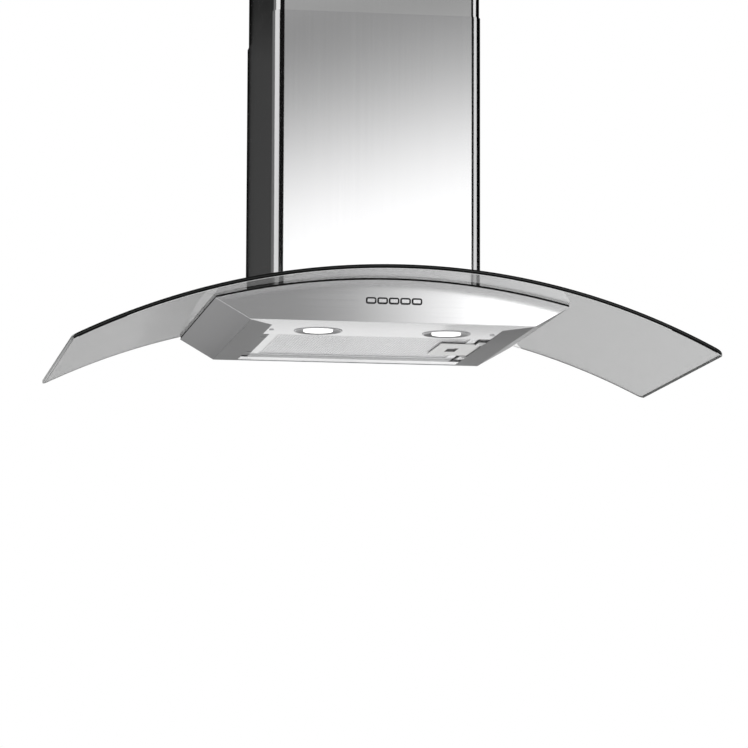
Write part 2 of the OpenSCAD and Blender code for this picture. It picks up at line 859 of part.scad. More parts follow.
// Two faces of mesh in the frame's groove
module filter_mesh() {
    inset = filter_sheet + seat;
    color([0.84, 0.84, 0.85]) difference() {
        for (z = [filter_z + inset, filter_top - inset - mesh_t]) {
            box([inset - filter_x, filter_front + inset, z], [filter_x - inset, filter_rear - inset, z + mesh_t]);
        }
        latch_room(seat);
    }
}

// Pins along Y, each between two ears that stand on the left ledge
module filter_hinge_pins() {
    foot = ledge_z + sheet_t + seat;
    near = hinge_arm_w / 2 + hinge_ear_gap;
    color([0.7, 0.7, 0.72]) for (y = hinge_y) {
        rod_y(hinge_x, hinge_z, y - near - hinge_ear_t, y + near + hinge_ear_t, hinge_pin_r);
        for (side = [-1, 1]) {
            edge = y + side * (near + hinge_ear_t / 2);
            box([hinge_x - hinge_ear_r, edge - hinge_ear_t / 2, foot],
                [hinge_x + hinge_ear_r, edge + hinge_ear_t / 2, hinge_z + hinge_ear_r]);
        }
    }
}

// Sliding plate with its finger slot, and the flanged block that runs in the housing
module latch_slider() {
    half = latch_w / 2;
    block_x0 = latch_slot_x - latch_block_w / 2;
    block_x1 = latch_slot_x + latch_block_w / 2;
    neck_top = latch_top + latch_neck_h;
    color([0.93, 0.93, 0.93]) difference() {
        union() {
            box([latch_left, -latch_back - half, latch_z], [latch_right, -latch_back + half, latch_top]);
            box([block_x0, -latch_back - latch_block_l / 2, latch_z], [block_x1, -latch_back + latch_block_l / 2, neck_top]);
            box([block_x0, -latch_back - latch_block_l / 2 - latch_flange, neck_top],
                [block_x1, -latch_back + latch_block_l / 2 + latch_flange, neck_top + latch_flange_h]);
        }
        translate([latch_slot_x, -latch_back, latch_z - 1]) linear_extrude(latch_slot_depth + 1) {
            rounded(latch_slot_w, latch_slot_l, latch_slot_r);
        }
    }
}

// Housing in the filter, open below for the block's neck
module latch_housing() {
    half = latch_house_l / 2;
    inner = half - latch_wall;
    neck = latch_block_l / 2 + slide;
    lip_top = latch_top + latch_neck_h - slide;
    color([0.6, 0.6, 0.62]) difference() {
        box([latch_house_x0, -latch_back - half, latch_top + slide], [latch_house_x1, -latch_back + half, filter_top]);
        box([latch_house_x0 + latch_wall, -latch_back - inner, lip_top],
            [latch_house_x1 - latch_wall, -latch_back + inner, filter_top - latch_roof]);
        box([latch_house_x0 + latch_wall, -latch_back - neck, latch_z],
            [latch_house_x1 - latch_wall, -latch_back + neck, filter_top - latch_roof]);
    }
}

module latch_spring() {
    x0 = latch_house_x0 + latch_wall + seat;
    x1 = latch_slot_x - latch_block_w / 2 - seat;
    z = latch_top + latch_neck_h + latch_flange_h - latch_spring_r;
    color([0.75, 0.75, 0.77]) for (side = [-1, 1]) difference() {
        rod_x(-latch_back + side * latch_block_l / 3, z, x0, x1, latch_spring_r);
        rod_x(-latch_back + side * latch_block_l / 3, z, x0 - 1, x1 + 1, latch_spring_r - spring_wire);
    }
}

// Button cap with the flange that keeps it in, and its stem
module button(i) {
    flange_end = switch_front + cap_flange_t;
    color([0.9, 0.9, 0.9]) {
        along_y(-body_d - button_proud, flange_end) translate([button_x(i), button_z]) {
            rounded(button_w, button_h, button_corner_r);
        }
        along_y(switch_front, flange_end) translate([button_x(i), button_z]) {
            square([button_w + 2 * cap_flange, button_h + 2 * cap_flange], center = true);
        }
        along_y(switch_front, stem_end) translate([button_x(i), button_z]) square([stem_w, stem_h], center = true);
    }
}

module button_surround() {
    color([0.06, 0.06, 0.06]) difference() {
        union() {
            along_y(fascia_back + seat, fascia_back + seat + surround_t) {
                translate([0, button_z]) square([surround_w, surround_h], center = true);
            }
            for (i = [1:button_count]) along_y(-body_d, fascia_back + seat) translate([button_x(i), button_z]) {
                rounded(hole_w - 2 * seat, hole_h - 2 * seat, button_corner_r + slide + button_ring - seat);
            }
        }
        for (i = [1:button_count]) along_y(-body_d - 1, switch_front + 1) translate([button_x(i), button_z]) {
            rounded(button_w + 2 * slide, button_h + 2 * slide, button_corner_r + slide);
        }
    }
}

module switch_block() {
    color([0.15, 0.15, 0.16]) difference() {
        along_y(switch_front, switch_front + switch_d) {
            translate([0, button_z]) square([surround_w, switch_h], center = true);
        }
        for (i = [1:button_count]) {
            along_y(switch_front - 1, spring_end) translate([button_x(i), button_z]) {
                square([stem_w + 2 * slide, stem_h + 2 * slide], center = true);
            }
            along_y(switch_front - 1, pocket_end) translate([button_x(i), button_z]) {
                grow = 2 * (cap_flange + slide);
                square([button_w + grow, button_h + grow], center = true);
            }
        }
    }
}

module button_spring(i) {
    color([0.75, 0.75, 0.77]) difference() {
        rod_y(button_x(i), button_z, stem_end + seat, spring_end - seat, button_spring_r);
        rod_y(button_x(i), button_z, stem_end - 1, spring_end + 1, button_spring_r - spring_wire);
    }
}

// Sheet walls round the fan, open below, with the holes that hang them on the wall
module blower_casing() {
    half = casing_w / 2;
    color([0.66, 0.67, 0.68]) difference() {
        union() {
            box([-half, -casing_d, casing_z0], [half, 0, casing_z1 - sheet_t - seat]);
            box([-half - casing_flange, -casing_d - casing_flange, casing_z0],
                [half + casing_flange, -sheet_t, casing_z0 + sheet_t]);
        }
        box([sheet_t - half, sheet_t - casing_d, casing_z0 - 1], [half - sheet_t, -sheet_t, casing_z1 + 1]);
        for (x = [-1, 1], z = [-1, 1]) {
            rod_y(x * wall_hole_w / 2, wall_hole_z + z * wall_hole_h / 2, -sheet_t - 1, 1, wall_hole_r);
        }
        casing_screw_holes();
    }
}

// Lid of the casing, with the holes for the outlet and the gland
module casing_top() {
    half = casing_w / 2;
    color([0.68, 0.69, 0.70]) difference() {
        box([-half, -casing_d, casing_z1 - sheet_t], [half, 0, casing_z1]);
        rod_z(0, collar_y, fan_z, casing_z1 + 1, collar_in_r);
        rod_z(gland_x, gland_y, fan_z, casing_z1 + 1, gland_r - gland_step);
    }
}

module casing_screw_holes() {
    for (side = [-1, 1], y = casing_screw_y) {
        rod_z(side * casing_screw_x, y, casing_z0 - 1, arch_z, screw_r + slide);
    }
}

module casing_screws() {
    color([0.75, 0.75, 0.76]) for (side = [-1, 1], y = casing_screw_y) {
        rod_z(side * casing_screw_x, y, casing_z0 - seat - 1.5, casing_z0 - seat, 2 * screw_r);
        rod_z(side * casing_screw_x, y, casing_z0 - seat - 1, casing_z0 + casing_screw_l, screw_r);
    }
}

// Scroll outline in Y and Z: three quarter turns of growing radius, then straight up the throat
function quarter(c, r, from) = [for (a = [0:15:90]) c + r * [cos(from - a), sin(from - a)]];
module scroll_outline(t) {
    h = scroll_step / 2;
    r = scroll_r + t;
    left = -h - r - 2 * scroll_step;
    translate([-fan_back, fan_z]) {
        polygon(concat(
            quarter([h, -h], r, 90),
            quarter([-h, -h], r + scroll_step, 0),
            quarter([-h, h], r + 2 * scroll_step, -90)
        ));
        translate([left, 0]) square([h + t - left, scroll_top - fan_z]);
    }
}

// The scroll's throat in Y and Z, cut on through its top
module throat_outline() {
    translate([-fan_back - scroll_step / 2 - scroll_r - 2 * scroll_step, fan_z + 1]) {
        square([scroll_r + 3 * scroll_step, scroll_top - fan_z]);
    }
}

// Band rolled round the fan, with a flange at its throat that hangs it under the casing's top
module scroll_housing() {
    half = scroll_w / 2;
    flange = collar_in_r + throat_lap;
    color([0.72, 0.73, 0.74]) {
        along_x(-half, half) difference() {
            scroll_outline(sheet_t);
            scroll_outline(0);
            throat_outline();
        }
        difference() {
            box([-flange, collar_y - flange, scroll_top - sheet_t], [flange, collar_y + flange, scroll_top]);
            along_x(-half, half) throat_outline();
        }
    }
}

// Flat cheeks at the scroll's sides, each with an inlet hole
module scroll_cheeks() {
    color([0.72, 0.73, 0.74]) for (side = [-1, 1]) mirror([side < 0 ? 1 : 0, 0, 0]) difference() {
        along_x(cheek_in, cheek_out) scroll_outline(sheet_t);
        rod_x(-fan_back, fan_z, cheek_in - 1, cheek_out + 1, inlet_r + inlet_wall + 0.3);
        box([cheek_in - 1, -casing_d, scroll_top - sheet_t - seat], [cheek_out + 1, 0, scroll_top + 1]);
    }
}

// Shapes turned about the fan's shaft, drawn as radius and distance along X
module turned_on_shaft(x) {
    translate([x, -fan_back, fan_z]) rotate([0, 90, 0]) rotate_extrude($fn = 96) children();
}

module inlet_rings() {
    face = cheek_out + seat;
    color([0.8, 0.8, 0.82]) for (side = [-1, 1]) mirror([side < 0 ? 1 : 0, 0, 0]) turned_on_shaft(face) polygon([
        [inlet_r, -inlet_lip], [inlet_r, inlet_wall], [inlet_r + inlet_flange, inlet_wall],
        [inlet_r + inlet_flange, 0], [inlet_r + inlet_wall, 0], [inlet_r + inlet_wall, -inlet_lip]
    ]);
}

// Impeller: its hub and disc, then the cage of blades and rings that is pressed onto the disc
module impeller() {
    color([0.25, 0.25, 0.27]) turned_on_shaft(0) {
        translate([shaft_r + shaft_press, -hub_l / 2]) square([hub_r - shaft_r, hub_l]);
        translate([hub_r - 1, -disc_t / 2]) square([impeller_r - blade_l - seat - hub_r + 1, disc_t]);
    }
}

module impeller_blades() {
    half = impeller_w / 2;
    color([0.25, 0.25, 0.27]) {
        turned_on_shaft(0) for (x = [-half, -disc_t / 2, half - disc_t]) {
            translate([impeller_r - blade_l, x]) square([blade_l, disc_t]);
        }
        for (i = [0:blade_count - 1]) translate([0, -fan_back, fan_z]) rotate([i * 360 / blade_count, 0, 0]) {
            translate([blade_in - half, -blade_t / 2, impeller_r - blade_l + blade_in]) {
                cube([impeller_w - 2 * blade_in, blade_t, blade_l - 2 * blade_in]);
            }
        }
    }
}

module motor_shaft() {
    color([0.8, 0.8, 0.82]) rod_x(-fan_back, fan_z, motor_x0 + motor_shaft_in, hub_l / 2 + 2, shaft_r);
}

module motor() {
    cut = motor_r - motor_end_r;
    bore = shaft_r + run;
    color([0.35, 0.36, 0.38]) turned_on_shaft(0) polygon([
        [0, motor_x0], [motor_end_r, motor_x0], [motor_r, motor_x0 + cut], [motor_r, motor_x1 - cut],
        [motor_end_r, motor_x1], [hub_r, motor_x1], [hub_r, motor_x1 + motor_nose],
        [bore, motor_x1 + motor_nose], [bore, motor_x0 + motor_bore], [0, motor_x0 + motor_bore]
    ]);
}

// Ring round the motor on three legs that stand on the scroll housing
module motor_bracket() {
    ring_x = motor_x1 - spider_back;
    arm_l = -cheek_out - seat - ring_x;
    color([0.6, 0.6, 0.62]) translate([0, -fan_back, fan_z]) {
        difference() {
            rotate([0, 90, 0]) translate([0, 0, ring_x]) cylinder(h = spider_w, r = spider_r + spider_wall);
            rotate([0, 90, 0]) translate([0, 0, ring_x - 1]) cylinder(h = spider_w + 2, r = spider_r);
        }
        for (a = [30, 150, 270]) rotate([a, 0, 0]) {
            translate([ring_x, -spider_arm / 2, spider_r + spider_wall / 2]) {
                cube([spider_w, spider_arm, post_r - spider_r + spider_wall / 2]);
            }
            translate([ring_x, -spider_arm / 2, post_r - spider_arm / 2]) cube([arm_l, spider_arm, spider_arm]);
        }
    }
}

module capacitor() {
    x = casing_w / 2 - sheet_t - seat - capacitor_r;
    color([0.9, 0.9, 0.92]) rod_z(x, capacitor_y, capacitor_z, capacitor_z + capacitor_h, capacitor_r);
}

module junction_box() {
    x1 = casing_w / 2 - sheet_t - seat;
    wall = 2;
    color([0.2, 0.2, 0.22]) difference() {
        box([x1 - box_w, box_y - box_d, box_z], [x1, box_y, box_z + box_h]);
        box([x1 - box_w - 1, box_y - box_d + wall, box_z + wall], [x1 - wall, box_y - wall, box_z + box_h - wall]);
    }
}

module junction_box_lid() {
    x1 = casing_w / 2 - sheet_t - 2 * seat - box_w;
    color([0.3, 0.3, 0.32]) box([x1 - box_lid_t, box_y - box_d, box_z], [x1, box_y, box_z + box_h]);
}

// Leads inside the hood: to the switches through two corner clips, and from the transformer to the sockets
module wiring() {
    x0 = casing_w / 2 - sheet_t - seat - box_w / 2;
    x1 = lamp_x + lead_side;
    y0 = box_y - box_d / 2;
    y1 = switch_front + switch_d / 2;
    z = button_z + wire_r + 1;
    clip = 1.5 * wire_r;
    color([0.15, 0.15, 0.15]) {
        rod_z(x0, y0, z, box_z - seat, wire_r);
        rod_y(x1, z, y1, y0, wire_r);
        box([min(x0, x1) - clip, y0 - clip, z - clip], [max(x0, x1) + clip, y0 + clip, z + clip]);
        box([x1 - clip, y1 - clip, z - clip], [x1 + clip, y1 + clip, z + clip]);
        rod_x(y1, z, surround_w / 2 + seat, x1, wire_r);
        rod_x(lamp_y, z, driver_x1 + seat, -lamp_x - socket_r - seat, wire_r);
        rod_x(lamp_y, z, -lamp_x + socket_r + seat, lamp_x - socket_r - seat, wire_r);
    }
}

module cable_gland() {
    color([0.1, 0.1, 0.1]) difference() {
        union() {
            rod_z(gland_x, gland_y, casing_z1 - gland_r, casing_z1 + gland_top, gland_r - gland_step - slide);
            rod_z(gland_x, gland_y, casing_z1 + seat, casing_z1 + gland_nut + seat, gland_r + gland_nut);
            rod_z(gland_x, gland_y, casing_z1 + gland_nut, casing_z1 + gland_top, gland_r);
        }
        rod_z(gland_x, gland_y, casing_z1 - gland_r - 1, casing_z1 + gland_top + 1, cord_r);
    }
}

module outlet_collar() {
    z0 = casing_z1 + seat;
    color([0.2, 0.2, 0.2]) difference() {
        translate([0, collar_y, z0]) rotate_extrude($fn = 128) {
            translate([collar_in_r, 0]) square([collar_flange + collar_t, collar_t]);
            translate([collar_in_r, 0]) square([collar_t, collar_h]);
            translate([collar_in_r - damper_lip, damper_z - z0 - damper_t / 2 - damper_rest - damper_lip_t]) {
                square([damper_lip + collar_t, damper_lip_t]);
            }
        }
        rod_x(collar_y, damper_z, -collar_r - 1, collar_r + 1, damper_pin_r + seat);
    }
}

module damper_pin() {
    color([0.8, 0.8, 0.82]) rod_x(collar_y, damper_z, -collar_r, collar_r, damper_pin_r);
}

// Half disc with two knuckles on the pin; side is -1 in front and 1 behind
module damper_flap(side) {
    disc_r = collar_in_r - damper_gap;
    color([0.3, 0.3, 0.32]) difference() {
        union() {
            intersection() {
                rod_z(0, collar_y, damper_z - damper_t / 2, damper_z + damper_t / 2, disc_r);
                box([-disc_r, collar_y + (side > 0 ? flap_edge : -disc_r), damper_z - damper_t],
                    [disc_r, collar_y + (side > 0 ? disc_r : -flap_edge), damper_z + damper_t]);
            }
            for (x = [-knuckle_x, knuckle_x]) {
                x0 = x + (side - 1) * knuckle_w / 2 + slide;
                x1 = x + (side + 1) * knuckle_w / 2 - slide;
                rod_x(collar_y, damper_z, x0, x1, knuckle_r);
                box([x0, collar_y - (side > 0 ? 0 : flap_edge + 1), damper_z - damper_t / 2],
                    [x1, collar_y + (side > 0 ? flap_edge + 1 : 0), damper_z + damper_t / 2]);
            }
        }
        rod_x(collar_y, damper_z, -collar_r, collar_r, damper_pin_r + run);
    }
}

// Plan of a chimney section, closed at the wall, with rounded front edges
module front_rounded(w, d, r) {
    translate([-w / 2, r - d]) square([w, d - r]);
    translate([r - w / 2, -d]) square([w - 2 * r, r + 1]);
    for (side = [-1, 1]) translate([side * (w / 2 - r), r - d]) circle(r = r);
}

module chimney_plan(w, d, r, back) {
    difference() {
        front_rounded(w, d, r);
        front_rounded(w - 2 * chimney_t, d - chimney_t, r - chimney_t);
        translate([-w, -back]) square([2 * w, back + 1]);
    }
}

module lower_chimney() {
    inner = chimney_w / 2 - chimney_t;
    color([0.86, 0.86, 0.87]) difference() {
        linear_extrude(lower_top) {
            chimney_plan(chimney_w, chimney_d, chimney_r, chimney_back);
            for (side = [-1, 1]) {
                translate([side * (inner - return_w / 2 + 0.25), -chimney_back - chimney_t / 2]) {
                    square([return_w + 0.5, chimney_t], center = true);
                }
            }
        }
        along_y(-chimney_d - 1, 1) arch_disc(glass_r + chimney_lift);
    }
}

module upper_chimney() {
    color([0.88, 0.88, 0.89]) difference() {
        translate([0, 0, upper_top - upper_len]) linear_extrude(upper_len) {
            chimney_plan(upper_w, upper_d, chimney_r - chimney_t - chimney_gap, upper_back);
        }
        rod_x(chimney_screw_y, chimney_screw_z, -chimney_w, chimney_w, screw_r + slide);
    }
}

// Strip on the wall with a tab at each end that the upper section is screwed to
module chimney_bracket() {
    color([0.6, 0.6, 0.62]) difference() {
        union() {
            box([-tab_x, -bracket_t, bracket_z], [tab_x, 0, bracket_z + bracket_h]);
            for (side = [-1, 1]) {
                mid = side * (tab_x - bracket_t / 2);
                box([mid - bracket_t / 2, -tab_d, bracket_z], [mid + bracket_t / 2, 0, bracket_z + bracket_h]);
            }
        }
        rod_x(chimney_screw_y, chimney_screw_z, -chimney_w, chimney_w, screw_r + slide);
        for (side = [-1, 1]) {
            rod_y(side * bracket_hole_gap / 2, chimney_screw_z, -bracket_t - 1, 1, wall_hole_r);
        }
    }
}

module chimney_screws() {
    head = upper_w / 2 + seat;
    color([0.75, 0.75, 0.76]) for (side = [-1, 1]) mirror([side < 0 ? 1 : 0, 0, 0]) {
        rod_x(chimney_screw_y, chimney_screw_z, head, head + 1.2, 2 * screw_r);
        rod_x(chimney_screw_y, chimney_screw_z, tab_x - bracket_t - 4, head + 1, screw_r);
    }
}

glass_canopy();
glass_gasket();
glass_clamps();
front_fascia();
left_side_panel();
right_side_panel();
back_panel();
rear_strip();
top_deck();
lamp_panel();
lamp_panel_screws();
lamp_ring(-lamp_x);  // left_lamp_ring
lamp_ring(lamp_x);  // right_lamp_ring
lamp_lenses();
lamp_reflectors();
lamp_bulbs();
lamp_sockets();
lamp_driver();
filter_frame();
filter_mesh();
filter_hinge_pins();
latch_slider();
latch_housing();
latch_spring();
button(1);  // button_1
button(2);  // button_2
button(3);  // button_3
button(4);  // button_4
button(5);  // button_5
button_surround();
switch_block();
button_spring(1);  // button_spring_1
button_spring(2);  // button_spring_2
button_spring(3);  // button_spring_3
button_spring(4);  // button_spring_4
button_spring(5);  // button_spring_5
blower_casing();
casing_top();
casing_screws();
scroll_housing();
scroll_cheeks();
inlet_rings();
impeller();
impeller_blades();
motor_shaft();
motor();
motor_bracket();
capacitor();
junction_box();
junction_box_lid();
wiring();
cable_gland();
outlet_collar();
damper_pin();
damper_flap(-1);  // damper_flap_front
damper_flap(1);  // damper_flap_rear
lower_chimney();
upper_chimney();
chimney_bracket();
chimney_screws();
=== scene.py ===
import math

import bmesh
import bpy
from mathutils import Matrix, Vector


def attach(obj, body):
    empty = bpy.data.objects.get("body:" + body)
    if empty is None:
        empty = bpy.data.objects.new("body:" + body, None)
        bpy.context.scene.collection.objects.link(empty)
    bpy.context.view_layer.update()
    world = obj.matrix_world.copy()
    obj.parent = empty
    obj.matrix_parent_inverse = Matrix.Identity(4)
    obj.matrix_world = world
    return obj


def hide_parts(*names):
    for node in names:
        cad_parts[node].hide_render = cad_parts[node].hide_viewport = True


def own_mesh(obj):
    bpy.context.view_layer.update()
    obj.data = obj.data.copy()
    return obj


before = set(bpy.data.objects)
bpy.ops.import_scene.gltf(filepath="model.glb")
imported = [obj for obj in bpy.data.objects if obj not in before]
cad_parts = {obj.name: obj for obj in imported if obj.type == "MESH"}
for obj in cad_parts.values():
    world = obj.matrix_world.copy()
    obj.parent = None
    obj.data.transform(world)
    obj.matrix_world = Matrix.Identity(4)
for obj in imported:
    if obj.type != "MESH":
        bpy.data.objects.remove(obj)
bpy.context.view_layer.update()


# Camera: below the hood and to its left, looking up at it through a long lens, turned to the right
# by its yaw, up by its pitch and a touch clockwise by its roll.
eye = Vector((-0.9095, -5.8195, -0.7751))
yaw = math.radians(9.288)
pitch = math.radians(7.340)
roll = math.radians(0.203)
ahead = Vector((math.sin(yaw) * math.cos(pitch), math.cos(yaw) * math.cos(pitch), math.sin(pitch)))
level = Vector((math.cos(yaw), -math.sin(yaw), 0))
upright = level.cross(ahead)
across = math.cos(roll) * level + math.sin(roll) * upright
upward = -math.sin(roll) * level + math.cos(roll) * upright
lens = bpy.data.cameras.new("camera")
lens.sensor_width = 36
lens.lens = 193.08
lens.clip_start = 0.1
lens.clip_end = 60
camera = bpy.data.objects.new("camera", lens)
bpy.context.scene.collection.objects.link(camera)
turn = Matrix((across, upward, -ahead)).transposed().to_4x4()
camera.matrix_world = Matrix.Translation(eye) @ turn
bpy.context.scene.camera = camera


# Studio: a white room with a pale floor far below the hood, one soft lamp over it, and cards
# that the camera doesn't see. The steel is bright where it mirrors the room, dark where a card.
bpy.context.scene.view_settings.view_transform = "Standard"


def plain_tree(name):
    """A new material, its tree and its Principled shader."""
    made = bpy.data.materials.new(name)
    made.use_nodes = True
    return made, made.node_tree, made.node_tree.nodes["Principled BSDF"]


def flat_sheet(name, middle, size, turned):
    """A flat rectangle, turned from level and set in place in its mesh."""
    bm = bmesh.new()
    bmesh.ops.create_grid(bm, x_segments=1, y_segments=1, size=0.5)
    bmesh.ops.scale(bm, vec=(size[0], size[1], 1), verts=bm.verts)
    bmesh.ops.rotate(bm, matrix=turned, verts=bm.verts)
    bmesh.ops.translate(bm, vec=middle, verts=bm.verts)
    mesh = bpy.data.meshes.new(name)
    bm.to_mesh(mesh)
    bm.free()
    sheet = bpy.data.objects.new(name, mesh)
    bpy.context.scene.collection.objects.link(sheet)
    return sheet


floor_white = 0.86
floor_level = -0.95
floor_side = 40
floor = flat_sheet("floor", (0, 0, floor_level), (floor_side, floor_side), Matrix.Identity(3))
floor_paint, tree, shader = plain_tree("floor_paint")
shader.inputs["Base Color"].default_value = (floor_white, floor_white, floor_white, 1)
shader.inputs["Roughness"].default_value = 0.9
seen_through = tree.nodes.new("ShaderNodeBsdfTransparent")
floor_face = tree.nodes.new("ShaderNodeNewGeometry")
either = tree.nodes.new("ShaderNodeMixShader")
tree.links.new(floor_face.outputs["Backfacing"], either.inputs[0])
tree.links.new(shader.outputs[0], either.inputs[1])
tree.links.new(seen_through.outputs[0], either.inputs[2])
tree.links.new(either.outputs[0], tree.nodes["Material Output"].inputs["Surface"])
floor.data.materials.append(floor_paint)

room_light = 0.55
room = bpy.data.worlds.new("room")
bpy.context.scene.world = room
room.use_nodes = True
tree = room.node_tree
backdrop = tree.nodes["Background"]
backdrop.inputs["Color"].default_value = (1, 1, 1, 1)
ray = tree.nodes.new("ShaderNodeLightPath")
bright = tree.nodes.new("ShaderNodeMath")
bright.operation = "MAXIMUM"
tree.links.new(ray.outputs["Is Camera Ray"], bright.inputs[0])
tree.links.new(ray.outputs["Is Glossy Ray"], bright.inputs[1])
brighter = tree.nodes.new("ShaderNodeMath")
brighter.operation = "MAXIMUM"
tree.links.new(bright.outputs[0], brighter.inputs[0])
tree.links.new(ray.outputs["Is Transmission Ray"], brighter.inputs[1])
level_of_light = tree.nodes.new("ShaderNodeMapRange")
level_of_light.inputs["To Min"].default_value = room_light
level_of_light.inputs["To Max"].default_value = 1.0
tree.links.new(brighter.outputs[0], level_of_light.inputs["Value"])
tree.links.new(level_of_light.outputs[0], backdrop.inputs["Strength"])

softbox_side = 3.0
softbox_watts = 110
softbox_place = (-1.2, -1.8, 3.4)
softbox_back = Vector((-0.33, -0.5, 1))
softbox = bpy.data.lights.new("softbox", "AREA")
softbox.shape = "RECTANGLE"
softbox.size = softbox_side
softbox.size_y = softbox_side
softbox.energy = softbox_watts
softbox_lamp = bpy.data.objects.new("softbox", softbox)
bpy.context.scene.collection.objects.link(softbox_lamp)
softbox_facing = softbox_back.to_track_quat("Z", "Y").to_matrix().to_4x4()
softbox_lamp.matrix_world = Matrix.Translation(softbox_place) @ softbox_facing

up_front = Matrix.Rotation(math.radians(90), 3, "X")
along_x = (1, 0, 0)
along_z = (0, 0, 1)


def card(name, middle, size, turned, way, ramp):
    """A glowing card, seen only in gloss. Its tone runs along one way, in steps of metres and tone."""
    sheet = flat_sheet(name, middle, size, turned)
    paint, tree, shader = plain_tree(name)
    tree.nodes.remove(shader)
    glow = tree.nodes.new("ShaderNodeEmission")
    place = tree.nodes.new("ShaderNodeTexCoord")
    along = tree.nodes.new("ShaderNodeVectorMath")
    along.operation = "DOT_PRODUCT"
    along.inputs[1].default_value = way
    spread = tree.nodes.new("ShaderNodeMapRange")
    spread.inputs["From Min"].default_value = ramp[0][0]
    spread.inputs["From Max"].default_value = ramp[-1][0]
    shade = tree.nodes.new("ShaderNodeValToRGB")
    while len(shade.color_ramp.elements) < len(ramp):
        shade.color_ramp.elements.new(0.5)
    for stop, (where, tone) in zip(shade.color_ramp.elements, ramp):
        stop.position = (where - ramp[0][0]) / (ramp[-1][0] - ramp[0][0])
        stop.color = (tone, tone, tone, 1)
    tree.links.new(place.outputs["Object"], along.inputs[0])
    tree.links.new(along.outputs["Value"], spread.inputs["Value"])
    tree.links.new(spread.outputs[0], shade.inputs[0])
    tree.links.new(shade.outputs[0], glow.inputs["Color"])
    tree.links.new(glow.outputs[0], tree.nodes["Material Output"].inputs["Surface"])
    sheet.data.materials.append(paint)
    sheet.visible_camera = False
    sheet.visible_diffuse = False
    sheet.visible_transmission = False
    sheet.visible_shadow = False


# In front of the chimney: white low down, dark towards the top
card("chimney_front_card", (0.2, -0.98, 0.9), (1.0, 1.5), up_front, (-0.3, 0, 1),
     [(0.13, 1.25), (0.22, 1.22), (0.288, 1.09), (0.352, 0.88), (0.416, 0.66), (0.48, 0.475),
      (0.545, 0.345), (0.60, 0.287), (0.625, 0.325), (0.66, 0.35), (1.6, 0.37)])
# Close in front of the fascia: dark at the left, white at the right, and grey below for the glass over it
card("fascia_card", (0.10, -0.95, 0.10), (1.0, 0.13), up_front, along_x,
     [(-0.3, 0.30), (-0.06, 0.31), (0.02, 0.44), (0.10, 0.74), (0.18, 1.10), (0.24, 1.55), (0.5, 1.9)])
card("fascia_low_card", (0.10, -0.95, -0.03), (1.0, 0.13), up_front, along_x,
     [(-0.3, 0.20), (0.0, 0.22), (0.2, 0.42), (0.5, 0.9)])
# Behind and low: each part of the underside and of the glass mirrors its own stretch of these
card("rim_card", (0.19, 1.0, -0.1615), (0.62, 0.067), up_front, along_x,
     [(-0.12, 1.18), (0.2, 1.18), (0.5, 1.5)])
card("left_panel_card", (-0.61, 1.0, -0.39), (0.94, 0.54), up_front, along_x,
     [(-1.0, 1.0), (-0.31, 1.0), (-0.22, 0.3), (-0.14, 0.25)])
card("right_wing_card", (0.72, 1.0, -0.345), (0.78, 0.30), up_front, along_z, [(-0.5, 0.20), (-0.19, 0.21)])
card("left_wing_card", (-0.23, 1.0, -0.03), (0.80, 0.12), up_front, along_x,
     [(-0.25, 0.33), (-0.15, 0.31), (0.0, 0.16)])
card("left_echo_card", (-0.11, 1.0, -0.109), (0.20, 0.038), up_front, along_x, [(-0.3, 0.12), (0.1, 0.12)])
# Under the hood, for the white line that each fold at its underside draws
card("below_card", (0.15, -0.5, -0.9), (1.0, 0.35), Matrix.Identity(3), along_x, [(-1.2, 1.3), (1.2, 1.3)])
# Behind and to the left, for the chimney's dark side, and a black strip beside its rear edge
card("left_card", (-0.75, 1.0, 0.9), (1.7, 1.56), up_front, along_z,
     [(0.3, 0.055), (0.66, 0.048), (0.76, 0.022), (1.6, 0.016)])
card("left_edge_card", (-0.1545, 0.03, 0.45), (0.009, 0.76), up_front, along_z, [(0.0, 0.0), (0.8, 0.0)])
# Strips round the chimney's front corners, black and pale by turns, which draw their curve. Each
# stands at a bearing from straight in front of its corner.
left_post = (-0.134, -0.270)
right_post = (0.134, -0.270)
strip_foot = 0.15
strip_top = 1.5
for name, post, bearing, distance, half_angle, tone in (
        ("left_strip", left_post, -22, 0.6, 24, 0.0),
        ("left_pale_strip", left_post, -70, 0.9, 26, 0.75),
        ("left_grey_strip", left_post, -124, 0.9, 26, 0.15),
        ("right_strip", right_post, 29, 0.6, 12, 0.0),
        ("right_pale_strip", right_post, 58, 0.9, 17, 0.75),
        ("right_back_strip", right_post, 105, 0.9, 30, 0.0),
        ("right_rear_strip", right_post, 152, 0.9, 17, 0.15)):
    swing = math.radians(bearing)
    place = (post[0] + distance * math.sin(swing), post[1] - distance * math.cos(swing), (strip_foot + strip_top) / 2)
    width = 2 * distance * math.tan(math.radians(half_angle))
    facing = Matrix.Rotation(swing, 3, "Z") @ up_front
    card(name, place, (width, strip_top - strip_foot), facing, along_z, [(strip_foot, tone), (strip_top, tone)])


# Steel body and chimney: stainless sheet, cut and folded, and polished with a belt, so fine
# straight lines run along each sheet. The sheets are spot welded, and their cut edges are deburred.
def grouped(name, entries, exits):
    """A new shader group with its sockets, and the nodes that its inside starts and ends at."""
    made = bpy.data.node_groups.new(name, "ShaderNodeTree")
    for label, kind in entries:
        made.interface.new_socket(name=label, in_out="INPUT", socket_type=kind)
    for label, kind in exits:
        made.interface.new_socket(name=label, in_out="OUTPUT", socket_type=kind)
    return made, made.nodes.new("NodeGroupInput").outputs, made.nodes.new("NodeGroupOutput").inputs


